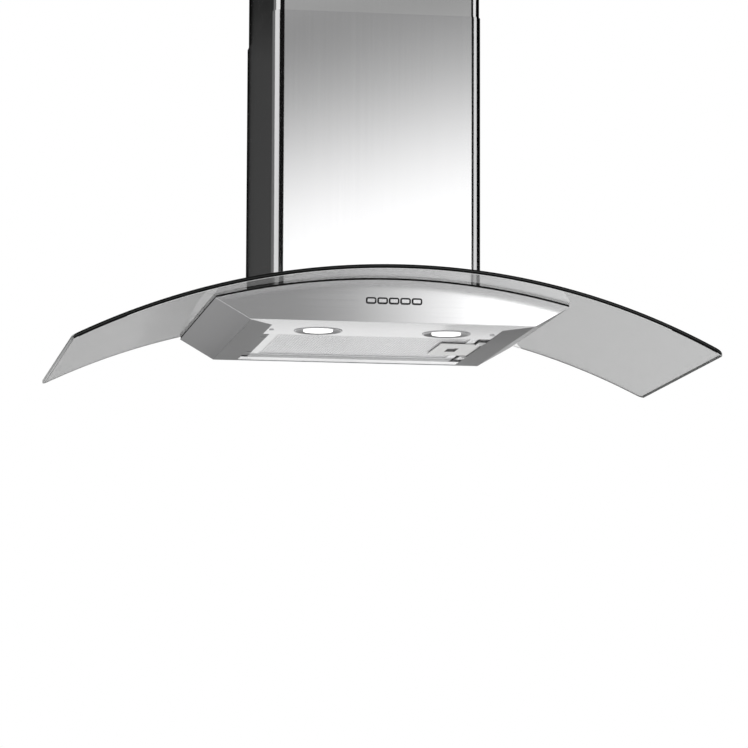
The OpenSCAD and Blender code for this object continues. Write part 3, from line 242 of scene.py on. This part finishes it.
def noise_node(tree, vector, scale, detail, rough=0.5):
    """A noise over a vector, put out as a value."""
    made = tree.nodes.new("ShaderNodeTexNoise")
    made.inputs["Scale"].default_value = scale
    made.inputs["Detail"].default_value = detail
    made.inputs["Roughness"].default_value = rough
    tree.links.new(vector, made.inputs["Vector"])
    return made.outputs["Fac"]


def math_node(tree, how, first, second):
    """A Math node with two inputs, each a socket or a number."""
    made = tree.nodes.new("ShaderNodeMath")
    made.operation = how
    for spot, value in zip(made.inputs, (first, second)):
        if isinstance(value, (int, float)):
            spot.default_value = value
        else:
            tree.links.new(value, spot)
    return made.outputs[0]


def ranged(tree, value, low, high, start=0.3, stop=0.7):
    """A value moved to run from low to high, each a socket or a number."""
    made = tree.nodes.new("ShaderNodeMapRange")
    made.inputs["From Min"].default_value = start
    made.inputs["From Max"].default_value = stop
    for label, end in (("To Min", low), ("To Max", high)):
        if isinstance(end, (int, float)):
            made.inputs[label].default_value = end
        else:
            tree.links.new(end, made.inputs[label])
    tree.links.new(value, made.inputs["Value"])
    return made.outputs[0]


def mixed_colour(tree, factor, first, second):
    """A colour between two, each a socket or three numbers."""
    made = tree.nodes.new("ShaderNodeMix")
    made.data_type = "RGBA"
    tree.links.new(factor, made.inputs["Factor"])
    for label, end in (("A", first), ("B", second)):
        if isinstance(end, tuple):
            made.inputs[label].default_value = (*end, 1)
        else:
            tree.links.new(end, made.inputs[label])
    return made.outputs["Result"]


surface_in = [("Place", "NodeSocketVector"), ("Stretch", "NodeSocketVector"),
              ("Dark", "NodeSocketColor"), ("Light", "NodeSocketColor"),
              ("Smooth", "NodeSocketFloat"), ("Rough", "NodeSocketFloat")]
surface_out = [("Colour", "NodeSocketColor"), ("Roughness", "NodeSocketFloat"), ("Height", "NodeSocketFloat")]

# Group: lines of a brushed finish along the way where Stretch is small, with faint smears over them
brushed_grain, entry, leave = grouped("brushed_grain", surface_in, surface_out)
stretched = brushed_grain.nodes.new("ShaderNodeVectorMath")
stretched.operation = "MULTIPLY"
brushed_grain.links.new(entry["Place"], stretched.inputs[0])
brushed_grain.links.new(entry["Stretch"], stretched.inputs[1])
fine = noise_node(brushed_grain, stretched.outputs[0], 1.0, 3, 0.6)
coarse = noise_node(brushed_grain, stretched.outputs[0], 0.23, 2)
lines = math_node(brushed_grain, "ADD", math_node(brushed_grain, "MULTIPLY", fine, 0.6),
                  math_node(brushed_grain, "MULTIPLY", coarse, 0.4))
smears = noise_node(brushed_grain, entry["Place"], 7.0, 4, 0.55)
line_tone = ranged(brushed_grain, lines, 0.0, 1.0)
line_gloss = ranged(brushed_grain, lines, entry["Smooth"], entry["Rough"])
smear_gloss = ranged(brushed_grain, smears, -0.015, 0.02)
brushed_grain.links.new(mixed_colour(brushed_grain, line_tone, entry["Dark"], entry["Light"]), leave["Colour"])
brushed_grain.links.new(math_node(brushed_grain, "ADD", line_gloss, smear_gloss), leave["Roughness"])
brushed_grain.links.new(lines, leave["Height"])


def surfaced(name, group, stretch, dark, light, rough, bump, metallic=0):
    """A material from one of the groups. Rough is its least and most roughness, bump its strength and height."""
    made, tree, shader = plain_tree(name)
    place = tree.nodes.new("ShaderNodeTexCoord")
    skin = tree.nodes.new("ShaderNodeGroup")
    skin.node_tree = group
    skin.inputs["Stretch"].default_value = stretch
    skin.inputs["Dark"].default_value = (*dark, 1)
    skin.inputs["Light"].default_value = (*light, 1)
    skin.inputs["Smooth"].default_value = rough[0]
    skin.inputs["Rough"].default_value = rough[1]
    tree.links.new(place.outputs["Object"], skin.inputs["Place"])
    tree.links.new(skin.outputs["Colour"], shader.inputs["Base Color"])
    tree.links.new(skin.outputs["Roughness"], shader.inputs["Roughness"])
    relief = tree.nodes.new("ShaderNodeBump")
    relief.inputs["Strength"].default_value = bump[0]
    relief.inputs["Distance"].default_value = bump[1]
    tree.links.new(skin.outputs["Height"], relief.inputs["Height"])
    tree.links.new(relief.outputs[0], shader.inputs["Normal"])
    shader.inputs["Metallic"].default_value = metallic
    return made


def piece(name, bm, body, materials, replaced=(), sharp=30):
    """An object made from a bmesh, riding on a body and standing for the nodes that it replaces."""
    mesh = bpy.data.meshes.new(name)
    for f in bm.faces:
        f.smooth = True
    bm.to_mesh(mesh)
    bm.free()
    for material in materials:
        mesh.materials.append(material)
    mesh.set_sharp_from_angle(angle=math.radians(sharp))
    made = bpy.data.objects.new(name, mesh)
    bpy.context.scene.collection.objects.link(made)
    if replaced:
        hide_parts(*replaced)
    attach(made, body)
    return made


def solid_copy(node):
    """A copy of a node's solid with its flat faces whole."""
    bm = bmesh.new()
    bm.from_mesh(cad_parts[node].data)
    bmesh.ops.remove_doubles(bm, verts=bm.verts[:], dist=1e-5)
    bmesh.ops.dissolve_limit(bm, angle_limit=math.radians(0.2), verts=bm.verts[:], edges=bm.edges[:])
    return bm


def ease(bm, width):
    """Rounds the sharp edges, as when a cut sheet is deburred."""
    corner = math.radians(30)
    sharp = [e for e in bm.edges if len(e.link_faces) == 2 and e.calc_face_angle(0) > corner]
    bmesh.ops.bevel(bm, geom=sharp, affect="EDGES", offset=width, segments=2, profile=0.5, material=-1)


def eased_piece(node, bm, body, materials):
    """The piece that stands for a node, its flat faces shaded flat up to their rounded edges."""
    made = piece(node + "_eased", bm, body, materials, [node])
    level_shading = made.modifiers.new("level_shading", "WEIGHTED_NORMAL")
    level_shading.weight = 100
    level_shading.keep_sharp = True


def eased(node, body, material, width):
    """A node's solid with its edges rounded, in one material."""
    bm = solid_copy(node)
    ease(bm, width)
    eased_piece(node, bm, body, [material])


grain_across = (9, 1100, 1100)
grain_upright = (1100, 1100, 9)
grain_lengthwise = (1100, 9, 1100)
# The same stainless in four copies, each with its own base tone for how its sheets are lit: painted light and shade.
steel_across = surfaced("steel_brushed_across", brushed_grain, stretch=grain_across,
                        dark=(0.81, 0.81, 0.815), light=(0.85, 0.85, 0.855),
                        rough=(0.12, 0.15), bump=(0.004, 0.0004), metallic=1)
steel_upright = surfaced("steel_brushed_upright", brushed_grain, stretch=grain_upright,
                         dark=(0.87, 0.87, 0.875), light=(0.90, 0.90, 0.905),
                         rough=(0.11, 0.14), bump=(0.003, 0.0004), metallic=1)
# Upper chimney: the steel painted lighter, a painted highlight.
steel_lit_upper = surfaced("steel_brushed_lit_upper", brushed_grain, stretch=grain_upright,
                       dark=(0.97, 0.97, 0.97), light=(1.0, 1.0, 1.0),
                       rough=(0.11, 0.14), bump=(0.003, 0.0004), metallic=1)
# Side panels: the steel painted much darker, painted shade.
steel_shaded_lengthwise = surfaced("steel_brushed_shaded_lengthwise", brushed_grain, stretch=grain_lengthwise,
                            dark=(0.48, 0.48, 0.485), light=(0.52, 0.52, 0.525),
                            rough=(0.20, 0.24), bump=(0.01, 0.0004), metallic=1)
panel_shader = steel_shaded_lengthwise.node_tree.nodes["Principled BSDF"]
panel_shader.inputs["Specular Tint"].default_value = (0.42, 0.42, 0.42, 1)

sheet_round = 0.0003
for node in ("front_fascia", "rear_strip", "lamp_panel"):
    eased(node, "hood", steel_across, sheet_round)
# The side panels take the steel painted darker, as painted shade.
for node in ("left_side_panel", "right_side_panel"):
    eased(node, "hood", steel_shaded_lengthwise, sheet_round)
chimney_round = 0.00025
eased("lower_chimney", "hood", steel_upright, chimney_round)
# The upper chimney takes the steel painted lighter, as a painted highlight.
eased("upper_chimney", "upper_chimney", steel_lit_upper, chimney_round)

# Two tabs of the right side panel's rim, in front of and behind the room that the latch plate
# swings through when the filter opens
tab_size = Vector((0.0160, 0.0322, 0.0008))
tab_round = 0.0002
for name, middle in (("latch_tab_front", (0.1610, -0.2339, 0.0006)), ("latch_tab_rear", (0.1610, -0.0821, 0.0006))):
    bm = bmesh.new()
    bmesh.ops.create_cube(bm, size=1)
    bmesh.ops.scale(bm, vec=tab_size, verts=bm.verts)
    bmesh.ops.translate(bm, vec=middle, verts=bm.verts)
    bmesh.ops.bevel(bm, geom=bm.edges[:], affect="EDGES", offset=tab_round, segments=2, profile=0.5, material=-1)
    piece(name, bm, "hood", [steel_across])


# Galvanised sheet: the casing, deck, brackets and fan scroll that stay hidden. Zinc-coated steel
# with the faint pale and dark crystals of its coating, cut and folded with no further finish.
def finish(material, *names):
    """Gives nodes a finish in place of the plain one they come with."""
    for name in names:
        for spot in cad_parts[name].material_slots:
            spot.material = material


galvanised, tree, shader = plain_tree("galvanised_sheet")
place = tree.nodes.new("ShaderNodeTexCoord")
spangles_a_metre = 90
spangle = tree.nodes.new("ShaderNodeTexVoronoi")
spangle.inputs["Scale"].default_value = spangles_a_metre
tree.links.new(place.outputs["Object"], spangle.inputs["Vector"])
tone = tree.nodes.new("ShaderNodeSeparateColor")
tree.links.new(spangle.outputs["Color"], tone.inputs[0])
zinc = mixed_colour(tree, tone.outputs[0], (0.42, 0.43, 0.44), (0.60, 0.61, 0.62))
tree.links.new(zinc, shader.inputs["Base Color"])
tree.links.new(ranged(tree, tone.outputs[1], 0.34, 0.48, 0, 1), shader.inputs["Roughness"])
shader.inputs["Metallic"].default_value = 1
relief = tree.nodes.new("ShaderNodeBump")
relief.inputs["Strength"].default_value = 0.015
relief.inputs["Distance"].default_value = 0.001
tree.links.new(noise_node(tree, place.outputs["Object"], 60, 3), relief.inputs["Height"])
tree.links.new(relief.outputs[0], shader.inputs["Normal"])
finish(galvanised, "blower_casing", "casing_top", "top_deck", "back_panel", "chimney_bracket", "glass_clamps",
       "scroll_housing", "scroll_cheeks", "inlet_rings", "motor_bracket")


# Canopy glass: one sheet of 6 mm clear tempered glass, bent over a form to a single arch, its
# front edge bowed and its rim ground smooth. It lies on the rubber strip and is clamped from above.
glass_half = 0.44998
glass_side_y = -0.49398
glass_bow = 0.020
glass_wall = -0.001
glass_corner = 0.012
arch_under = 1.000
arch_over = 1.006
arch_centre = -0.937
notch_half = 0.133
notch_front = -0.265
over_round = 0.0022
under_round = 0.0026
end_reach = 0.004
bow_radius = (glass_half ** 2 + glass_bow ** 2) / (2 * glass_bow)

canopy_glass, tree, shader = plain_tree("canopy_glass")
shader.inputs["Base Color"].default_value = (0.725, 0.727, 0.726, 1)
shader.inputs["Transmission Weight"].default_value = 1
shader.inputs["IOR"].default_value = 1.5
place = tree.nodes.new("ShaderNodeTexCoord")
tree.links.new(ranged(tree, noise_node(tree, place.outputs["Object"], 9, 4), 0.0, 0.02), shader.inputs["Roughness"])

# Group: a fine mottle, as moulded, cast, painted and ground surfaces have
fine_skin, entry, leave = grouped("fine_skin", surface_in, surface_out)
spaced = fine_skin.nodes.new("ShaderNodeVectorMath")
spaced.operation = "MULTIPLY"
fine_skin.links.new(entry["Place"], spaced.inputs[0])
fine_skin.links.new(entry["Stretch"], spaced.inputs[1])
mottle = noise_node(fine_skin, spaced.outputs[0], 1.0, 4)
handled = noise_node(fine_skin, entry["Place"], 14, 3)
both = math_node(fine_skin, "ADD", math_node(fine_skin, "MULTIPLY", mottle, 0.6),
                 math_node(fine_skin, "MULTIPLY", handled, 0.4))
skin_tone = ranged(fine_skin, both, 0.0, 1.0)
fine_skin.links.new(mixed_colour(fine_skin, skin_tone, entry["Dark"], entry["Light"]), leave["Colour"])
fine_skin.links.new(ranged(fine_skin, mottle, entry["Smooth"], entry["Rough"]), leave["Roughness"])
fine_skin.links.new(mottle, leave["Height"])

# Opaque paints for the glass's rim in place of clear glass: the dark grey and black are painted shade, the pale one
# is a painted highlight, and the grey of the ends is painted shade.
edge_grey = surfaced("glass_edge_flat", fine_skin, stretch=(240, 240, 240),
                     dark=(0.018, 0.019, 0.019), light=(0.030, 0.032, 0.031),
                     rough=(0.12, 0.24), bump=(0.03, 0.0005))
edge_black = surfaced("glass_edge_round", fine_skin, stretch=(240, 240, 240),
                      dark=(0.002, 0.002, 0.002), light=(0.006, 0.006, 0.006),
                      rough=(0.10, 0.20), bump=(0.03, 0.0005))
edge_painted_highlight = surfaced("glass_rim_painted_highlight", fine_skin, stretch=(400, 400, 400),
                     dark=(0.80, 0.82, 0.81), light=(0.92, 0.93, 0.93),
                     rough=(0.25, 0.40), bump=(0.05, 0.0005))
edge_side = surfaced("glass_edge_side", fine_skin, stretch=(240, 240, 240),
                     dark=(0.21, 0.214, 0.212), light=(0.25, 0.255, 0.253),
                     rough=(0.25, 0.35), bump=(0.003, 0.0005))


def bowed_front(x):
    """How far forward the glass's front edge is at a place across it."""
    return glass_side_y - glass_bow + bow_radius - math.sqrt(bow_radius ** 2 - x * x)


def on_arch(x, radius):
    """The height of the arch at a place across it."""
    return arch_centre + math.sqrt(radius ** 2 - x * x)


for edge, gleam in ((edge_grey, 0.2), (edge_black, 0.05), (edge_side, 0.1)):
    edge.node_tree.nodes["Principled BSDF"].inputs["Specular IOR Level"].default_value = gleam

# The flat outline: a grid beside the wall, its front row drawn out to the bow, the chimney's notch
# cut out of it and its four outer corners rounded
bm = bmesh.new()
bmesh.ops.create_grid(bm, x_segments=72, y_segments=6, size=0.5)
for v in bm.verts:
    v.co = Vector((2 * glass_half * v.co.x, glass_wall + (v.co.y - 0.5) * (glass_wall - notch_front), 0))
near = 1e-6
front_row = [e for e in bm.edges if all(abs(v.co.y - notch_front) < near for v in e.verts)]
grown = bmesh.ops.extrude_edge_only(bm, edges=front_row)
for v in [g for g in grown["geom"] if isinstance(g, bmesh.types.BMVert)]:
    v.co.y = bowed_front(v.co.x)
for x in (-notch_half, notch_half):
    whole = bm.verts[:] + bm.edges[:] + bm.faces[:]
    bmesh.ops.bisect_plane(bm, geom=whole, plane_co=(x, 0, 0), plane_no=(1, 0, 0))
notch = [f for f in bm.faces
         if abs(f.calc_center_median().x) < notch_half and f.calc_center_median().y > notch_front]
bmesh.ops.delete(bm, geom=notch, context="FACES")
tips = [v for v in bm.verts if abs(v.co.x) > glass_half - near
        and (v.co.y < glass_side_y + 1e-4 or v.co.y > glass_wall - 1e-4)]
bmesh.ops.bevel(bm, geom=tips, affect="VERTICES", offset=glass_corner, segments=8, profile=0.5, material=-1)
bmesh.ops.recalc_face_normals(bm, faces=bm.faces[:])
# The sheet: the outline thickened, and each face laid on its arch
lower = bm.faces[:]
if lower[0].normal.z > 0:
    bmesh.ops.reverse_faces(bm, faces=lower)
raised = bmesh.ops.extrude_face_region(bm, geom=lower, use_keep_orig=True)
upper = {g for g in raised["geom"] if isinstance(g, bmesh.types.BMVert)}
for v in bm.verts:
    v.co.z = on_arch(v.co.x, arch_over if v in upper else arch_under)
bmesh.ops.recalc_face_normals(bm, faces=bm.faces[:])
# The rim: its flat ground and both edges rounded, each stretch of it painted opaque in place of clear glass: painted
# shade in dark grey on the front flat, in black on the rounds and in grey on the ends, and a pale painted highlight
# on the lower front round
clear, front_edge, round_edge, highlight_edge, end_edge = range(5)
for f in bm.faces:
    f.material_index = clear
    if abs(f.normal.z) < 0.2:
        f.material_index = end_edge if abs(f.normal.x) > 0.8 else front_edge
rim = [e for e in bm.edges if len(e.link_faces) == 2
       and min(f.material_index for f in e.link_faces) == clear
       and max(f.material_index for f in e.link_faces) > clear]
over = [e for e in rim if e.verts[0] in upper]
under = [e for e in rim if e.verts[0] not in upper]
for edges, width in ((over, over_round), (under, under_round)):
    bmesh.ops.bevel(bm, geom=edges, affect="EDGES", offset=width, segments=3, profile=0.5, material=round_edge)
bm.normal_update()
for f in bm.faces:
    if f.material_index == round_edge and abs(f.calc_center_median().x) > glass_half - end_reach:
        f.material_index = clear if f.normal.z < -0.95 else end_edge
    # The lower front round, facing down, takes the pale painted highlight.
    elif f.material_index == round_edge and f.normal.z < -0.9 and f.normal.y < 0:
        f.material_index = highlight_edge
piece("canopy_sheet", bm, "hood", [canopy_glass, edge_grey, edge_black, edge_painted_highlight, edge_side],
      ["glass_canopy"], sharp=12)


# Rubber: the strip between the body and the glass, and the pads under the clamps. Black moulded
# rubber, dull, with a fine dusty mottle.
rubber = surfaced("gasket_rubber", fine_skin, stretch=(150, 150, 150),
                  dark=(0.004, 0.004, 0.004), light=(0.014, 0.014, 0.014),
                  rough=(0.6, 0.85), bump=(0.15, 0.0005))
rubber.node_tree.nodes["Principled BSDF"].inputs["Specular IOR Level"].default_value = 0.1
finish(rubber, "glass_gasket")


# Lamps: two round low-voltage lamps in the lamp panel. A spun steel ring with a rolled lip and a
# dished face, a frosted lens, and a capsule bulb in a spun reflector under a ceramic socket.
lamp_places = {"left": -0.091, "right": 0.091}
lamp_y = -0.329
lens_glow = 1.1
bulb_glow = 2


def spun(bm, section, centre, steps):
    """Spins a closed half section, given as radius and height, about an upright axis."""
    corners = [bm.verts.new(Vector(centre) + Vector((r, 0, h))) for r, h in section]
    edges = [bm.edges.new(pair) for pair in zip(corners, corners[1:] + corners[:1])]
    bmesh.ops.spin(bm, geom=corners + edges, cent=centre, axis=(0, 0, 1), dvec=(0, 0, 0),
                   angle=math.radians(360), steps=steps, use_merge=True, use_duplicate=False)
    bmesh.ops.remove_doubles(bm, verts=bm.verts[:], dist=1e-6)
    bmesh.ops.recalc_face_normals(bm, faces=bm.faces[:])


lamp_ring_lip = surfaced("lamp_ring_lip", fine_skin, stretch=(420, 420, 420),
                         dark=(0.50, 0.50, 0.51), light=(0.62, 0.62, 0.63),
                         rough=(0.14, 0.22), bump=(0.04, 0.0003), metallic=1)
# The dished face: the ring's steel painted much darker, painted shade.
lamp_ring_shaded_dish = surfaced("lamp_ring_shaded_dish", fine_skin, stretch=(420, 420, 420),
                          dark=(0.14, 0.14, 0.145), light=(0.20, 0.20, 0.205),
                          rough=(0.20, 0.30), bump=(0.04, 0.0003), metallic=1)
# The ring's half section: the dished face outwards from the lens, the rolled lip, and the sleeve
ring_section = [
    (0.0206, 0.0016), (0.0209, 0.00135), (0.0215, 0.0013), (0.0307, -0.00035),
    (0.0316, -0.00056), (0.0321, -0.0006), (0.0335, -0.0006), (0.0338, -0.0005), (0.0340, -0.00025), (0.0340, 0.0003),
    (0.0308, 0.0003), (0.0308, 0.0127), (0.0298, 0.0127), (0.0298, 0.0026), (0.0206, 0.0026),
]
dish_radius = 0.0312
dish_top = 0.0014
for side, x in lamp_places.items():
    bm = bmesh.new()
    spun(bm, ring_section, (x, lamp_y, 0), 96)
    # Faces of the dished face take the steel painted darker, as painted shade.
    for f in bm.faces:
        middle = f.calc_center_median()
        out = math.hypot(middle.x - x, middle.y - lamp_y)
        f.material_index = 1 if out < dish_radius and middle.z < dish_top else 0
    piece(side + "_lamp_ring_spun", bm, "hood", [lamp_ring_lip, lamp_ring_shaded_dish],
          [side + "_lamp_ring"], sharp=40)

frosted = surfaced("lamp_lens_glass", fine_skin, stretch=(500, 500, 500),
                   dark=(0.90, 0.90, 0.88), light=(0.98, 0.98, 0.97),
                   rough=(0.35, 0.55), bump=(0.2, 0.0005))
lens_shader = frosted.node_tree.nodes["Principled BSDF"]
lens_shader.inputs["Emission Color"].default_value = (1.0, 1.0, 0.985, 1)
lens_shader.inputs["Emission Strength"].default_value = lens_glow
finish(frosted, "lamp_lenses")
reflector = surfaced("reflector_aluminium", fine_skin, stretch=(300, 300, 300),
                     dark=(0.80, 0.80, 0.82), light=(0.92, 0.92, 0.93),
                     rough=(0.08, 0.18), bump=(0.03, 0.0003), metallic=1)
finish(reflector, "lamp_reflectors")
bulb_glass = surfaced("bulb_glass", fine_skin, stretch=(120, 120, 120),
                      dark=(0.95, 0.93, 0.86), light=(1.0, 0.99, 0.95),
                      rough=(0.03, 0.12), bump=(0.02, 0.0003))
bulb_shader = bulb_glass.node_tree.nodes["Principled BSDF"]
bulb_shader.inputs["Emission Color"].default_value = (1.0, 0.97, 0.9, 1)
bulb_shader.inputs["Emission Strength"].default_value = bulb_glow
finish(bulb_glass, "lamp_bulbs")
ceramic = surfaced("socket_ceramic", fine_skin, stretch=(200, 200, 200),
                   dark=(0.78, 0.75, 0.68), light=(0.88, 0.86, 0.80),
                   rough=(0.45, 0.65), bump=(0.1, 0.0005))
finish(ceramic, "lamp_sockets")


# Grease filter: an aluminium frame, folded round two faces of expanded mesh. It hangs on two hinge
# arms at its left and is held by the latch at its right.
filter_aluminium = surfaced("filter_aluminium", fine_skin, stretch=(260, 260, 260),
                            dark=(0.82, 0.825, 0.83), light=(0.88, 0.885, 0.89),
                            rough=(0.14, 0.19), bump=(0.02, 0.0004), metallic=1)
eased("filter_frame", "filter", filter_aluminium, sheet_round)
finish(filter_aluminium, "capacitor", "damper_flap_front", "damper_flap_rear")

cells_a_metre = (250, 430, 1)
filter_mesh, tree, shader = plain_tree("filter_mesh_aluminium")
place = tree.nodes.new("ShaderNodeTexCoord")
spread = tree.nodes.new("ShaderNodeMapping")
spread.inputs["Scale"].default_value = cells_a_metre
tree.links.new(place.outputs["Object"], spread.inputs["Vector"])
cells = tree.nodes.new("ShaderNodeTexVoronoi")
cells.feature = "DISTANCE_TO_EDGE"
cells.inputs["Scale"].default_value = 1.0
cells.inputs["Randomness"].default_value = 0.25
tree.links.new(spread.outputs[0], cells.inputs["Vector"])
strand = ranged(tree, cells.outputs["Distance"], 1.0, 0.0, 0.05, 0.28)
tree.links.new(mixed_colour(tree, strand, (0.70, 0.70, 0.71), (0.95, 0.95, 0.96)), shader.inputs["Base Color"])
tree.links.new(ranged(tree, strand, 0.28, 0.20, 0.0, 1.0), shader.inputs["Roughness"])
shader.inputs["Metallic"].default_value = 1
relief = tree.nodes.new("ShaderNodeBump")
relief.inputs["Strength"].default_value = 0.05
relief.inputs["Distance"].default_value = 0.0006
tree.links.new(strand, relief.inputs["Height"])
tree.links.new(relief.outputs[0], shader.inputs["Normal"])
finish(filter_mesh, "filter_mesh")


# Latch: a pale plastic plate with a finger slot, which slides in a dark grey housing in the filter.
# Both are moulded, and two coil springs in the housing keep the plate's tongue out.
latch_plastic = surfaced("latch_plastic", fine_skin, stretch=(320, 320, 320),
                         dark=(0.84, 0.84, 0.83), light=(0.92, 0.92, 0.91),
                         rough=(0.28, 0.40), bump=(0.06, 0.0004))
# Dark grey plastic: the housing's own colour, and painted on the finger slot's walls in the pale plate as painted
# shade.
housing_plastic_and_slot_shade = surfaced("latch_housing_and_slot_shade", fine_skin, stretch=(320, 320, 320),
                          dark=(0.12, 0.12, 0.122), light=(0.18, 0.18, 0.182),
                          rough=(0.32, 0.50), bump=(0.08, 0.0004))
slot_x = 0.1297
slot_y = -0.158
slot_reach_x = 0.0085
slot_reach_y = 0.0200
plate_round = 0.0003
bm = solid_copy("latch_slider")
for f in bm.faces:
    middle = f.calc_center_median()
    in_slot = abs(middle.x - slot_x) < slot_reach_x and abs(middle.y - slot_y) < slot_reach_y
    # The finger slot's walls are painted dark: painted shade in the recess.
    if in_slot and abs(f.normal.z) < 0.5:
        f.material_index = 1
ease(bm, plate_round)
eased_piece("latch_slider", bm, "filter_latch", [latch_plastic, housing_plastic_and_slot_shade])
finish(housing_plastic_and_slot_shade, "latch_housing")


# Buttons: five chromed push buttons in a black surround behind the fascia. A dark ring is painted round
# the rim of each cap's face: the surround's black, and painted shade of the gap round each cap.
black_plastic = surfaced("black_plastic", fine_skin, stretch=(320, 320, 320),
                         dark=(0.010, 0.010, 0.011), light=(0.028, 0.028, 0.029),
                         rough=(0.32, 0.50), bump=(0.08, 0.0004))
black_plastic.node_tree.nodes["Principled BSDF"].inputs["Specular IOR Level"].default_value = 0.15
button_metal = surfaced("button_metal", fine_skin, stretch=(500, 500, 500),
                        dark=(0.86, 0.86, 0.87), light=(0.96, 0.96, 0.97),
                        rough=(0.14, 0.24), bump=(0.04, 0.0002), metallic=1)
ring_width = 0.0011
cap_round = 0.0004
for number in range(1, 6):
    bm = solid_copy(f"button_{number}")
    nearest = min(v.co.y for v in bm.verts)
    faces = [f for f in bm.faces if f.normal.y < -0.99 and f.calc_center_median().y < nearest + 1e-4]
    # The outer ring of each cap's face is painted black: the surround's colour and painted shade of the gap.
    for f in bmesh.ops.inset_region(bm, faces=faces, thickness=ring_width, depth=0)["faces"]:
        f.material_index = 1
    ease(bm, cap_round)
    eased_piece(f"button_{number}", bm, f"button_{number}", [button_metal, black_plastic])
finish(black_plastic, "button_surround", "switch_block")


# Small bright parts: the screws, hinge and damper pins and the fan's shaft. Turned or headed from
# steel wire and zinc-plated, they hold the sheets, the filter and the flaps.
bright_steel = surfaced("bright_steel", fine_skin, stretch=(400, 400, 400),
                        dark=(0.70, 0.70, 0.71), light=(0.88, 0.88, 0.89),
                        rough=(0.15, 0.28), bump=(0.05, 0.0002), metallic=1)
finish(bright_steel, "lamp_panel_screws", "filter_hinge_pins", "casing_screws", "motor_shaft", "damper_pin",
       "chimney_screws")


# Coil springs: one behind each button and two behind the latch plate, wound from steel wire. Each
# sits between its moving piece and a fixed wall.
def coiled(node, body, way, wire, turns, count=1):
    """One coil or two in a node's place."""
    corners = [Vector(c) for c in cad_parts[node].bound_box]
    middle = sum(corners, Vector()) / 8
    way = Vector(way)
    length = max((c - middle).dot(way) for c in corners) * 2
    outer = max(c.z for c in corners) - middle.z
    aside = max(c.y for c in corners) - middle.y - outer if count == 2 else 0
    steps = turns * 20
    bm = bmesh.new()
    for offset in (-aside, aside)[:count]:
        core = middle + Vector((0, offset, 0))
        start = core - way * (length / 2 - wire) + Vector((0, 0, outer - wire))
        circle = bmesh.ops.create_circle(bm, segments=8, radius=wire)["verts"]
        for v in circle:
            v.co = start + Vector((0, 0, v.co.x)) + way * v.co.y
        rounds = list(dict.fromkeys(e for v in circle for e in v.link_edges))
        bmesh.ops.spin(bm, geom=circle + rounds, cent=core, axis=way, dvec=way * (length - 2 * wire) / steps,
                       angle=math.radians(360) * turns, steps=steps, use_duplicate=False)
    bmesh.ops.holes_fill(bm, edges=[e for e in bm.edges if e.is_boundary], sides=8)
    bmesh.ops.recalc_face_normals(bm, faces=bm.faces[:])
    made = piece(node + "_coil", bm, body, [bright_steel], [node])
    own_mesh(made)


for number in range(1, 6):
    coiled(f"button_spring_{number}", "hood", way=(0, 1, 0), wire=0.00025, turns=5)
coiled("latch_spring", "filter", way=(1, 0, 0), wire=0.00035, turns=7,
       count=2)


# Fan, transformer and wiring: a grey plastic impeller on a painted motor, and black plastic boxes,
# collar and gland with a thin cable between them.
grey_plastic = surfaced("grey_plastic", fine_skin, stretch=(300, 300, 300),
                        dark=(0.20, 0.20, 0.21), light=(0.32, 0.32, 0.33),
                        rough=(0.40, 0.55), bump=(0.08, 0.0004))
cable_plastic = surfaced("cable_plastic", fine_skin, stretch=(300, 300, 300),
                         dark=(0.015, 0.015, 0.015), light=(0.05, 0.05, 0.05),
                         rough=(0.35, 0.50), bump=(0.08, 0.0004))
motor_paint = surfaced("motor_paint", fine_skin, stretch=(180, 180, 180),
                       dark=(0.06, 0.065, 0.07), light=(0.13, 0.135, 0.14),
                       rough=(0.35, 0.50), bump=(0.12, 0.0005))
finish(grey_plastic, "impeller", "impeller_blades")
finish(cable_plastic, "wiring")
finish(motor_paint, "motor")
finish(black_plastic, "lamp_driver", "junction_box", "junction_box_lid", "cable_gland", "outlet_collar")
